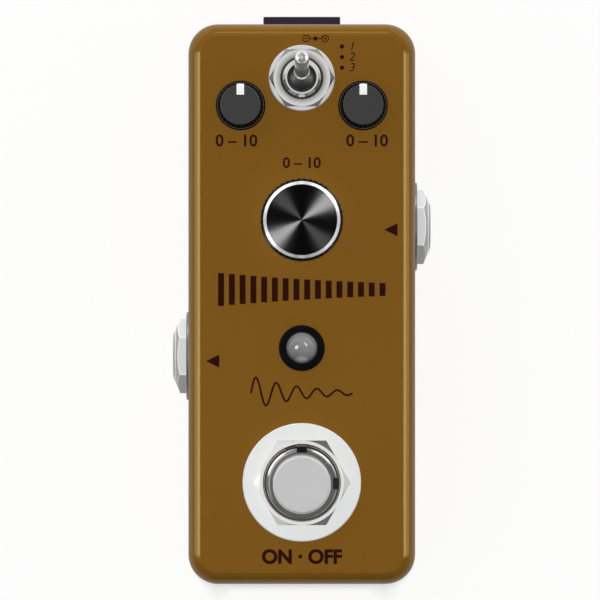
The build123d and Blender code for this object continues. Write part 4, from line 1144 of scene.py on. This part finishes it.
bars_tree, sizes, sink = start_tree("echo_bars", BAR_SIZES, counts=["Count"])
spacing = add(bars_tree, "ShaderNodeCombineXYZ", {"X": sizes.outputs["Step"]})
row = add(bars_tree, "GeometryNodeMeshLine", {
    "Count": sizes.outputs["Count"], "Start Location": sizes.outputs["Place"],
    "Offset": spacing.outputs[0],
})
number = add(bars_tree, "GeometryNodeInputIndex")
kept = calc(bars_tree, "POWER", sizes.outputs["Keep"], number.outputs[0])
tall = calc(bars_tree, "MULTIPLY", kept, sizes.outputs["Height"])
extent = add(bars_tree, "ShaderNodeCombineXYZ", {
    "X": sizes.outputs["Width"], "Y": tall, "Z": sizes.outputs["Thickness"],
})
brick = add(bars_tree, "GeometryNodeMeshCube", {"Size": (1, 1, 1)})
bars = add(bars_tree, "GeometryNodeInstanceOnPoints", {
    0: row.outputs[0], "Instance": brick.outputs[0], "Scale": extent.outputs[0],
})
end_tree(bars_tree, sink, bars.outputs[0], sizes)

led_low, led_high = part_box("led_bezel")
led_y = (led_low.y + led_high.y) / 2
echo_bars = grow(
    "echo_bars", bars_tree, count=BAR_COUNT, step=BAR_STEP_MM * MM, width=BAR_WIDTH_MM * MM,
    height=BAR_HEIGHT_MM * MM, keep=BAR_KEEP, thickness=INK_MM * MM, material=ink,
    place=(-(BAR_COUNT - 1) / 2 * BAR_STEP_MM * MM, led_y + BARS_UP_MM * MM, panel_z + INK_MM / 2 * MM),
)
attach(echo_bars, "pedal")
print("echo bars:", BAR_COUNT)

# %% [markdown]
# ## Fading wave
# Below the lamp a thin line draws a wave that fades out. Its points start on a straight line, and their
# height follows from how far along they are.

# %% Wave
WAVE_POINTS = 160
WAVE_MM = 17.0
WAVE_HEIGHT_MM = 2.9
WAVE_CYCLES = 5.0
WAVE_FADE = 0.12
WAVE_STROKE_MM = 0.32
WAVE_DOWN_MM = 7.5
WAVE_SIZES = ("Length", "Height", "Cycles", "Fade", "Stroke", "Thickness")

wave_tree, sizes, sink = start_tree("fading_wave", WAVE_SIZES)
far_end = add(wave_tree, "ShaderNodeCombineXYZ", {"X": sizes.outputs["Length"]})
straight = add(wave_tree, "GeometryNodeCurvePrimitiveLine", {"End": far_end.outputs[0]})
points = add(wave_tree, "GeometryNodeResampleCurve", {0: straight.outputs[0], "Count": WAVE_POINTS})
along = add(wave_tree, "GeometryNodeSplineParameter")
angle = calc(wave_tree, "MULTIPLY", along.outputs["Factor"], sizes.outputs["Cycles"])
radians = calc(wave_tree, "MULTIPLY", angle, 2 * math.pi)
swing = calc(wave_tree, "SINE", radians)
faded = calc(wave_tree, "POWER", sizes.outputs["Fade"], along.outputs["Factor"])
height = calc(wave_tree, "MULTIPLY", swing, faded)
lift = calc(wave_tree, "MULTIPLY", height, sizes.outputs["Height"])
offset = add(wave_tree, "ShaderNodeCombineXYZ", {"Y": lift})
bent = add(wave_tree, "GeometryNodeSetPosition", {0: points.outputs[0], "Offset": offset.outputs[0]})
level = add(wave_tree, "GeometryNodeSetCurveNormal", {0: bent.outputs[0]}, mode="Z_UP")
nib = add(wave_tree, "GeometryNodeCurvePrimitiveQuadrilateral", {
    "Width": sizes.outputs["Stroke"], "Height": sizes.outputs["Thickness"],
})
stroke = add(wave_tree, "GeometryNodeCurveToMesh", {
    "Curve": level.outputs[0], "Profile Curve": nib.outputs[0], "Fill Caps": True,
})
drawn = add(wave_tree, "GeometryNodeTransform", {
    0: stroke.outputs[0], "Translation": sizes.outputs["Place"],
})
end_tree(wave_tree, sink, drawn.outputs[0], sizes)

wave = grow(
    "fading_wave", wave_tree, length=WAVE_MM * MM, height=WAVE_HEIGHT_MM * MM, cycles=WAVE_CYCLES,
    fade=WAVE_FADE, stroke=WAVE_STROKE_MM * MM, thickness=INK_MM * MM, material=ink,
    place=(-WAVE_MM / 2 * MM, led_y - WAVE_DOWN_MM * MM, panel_z + INK_MM / 2 * MM),
)
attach(wave, "pedal")
print("wave of", WAVE_MM, "mm")
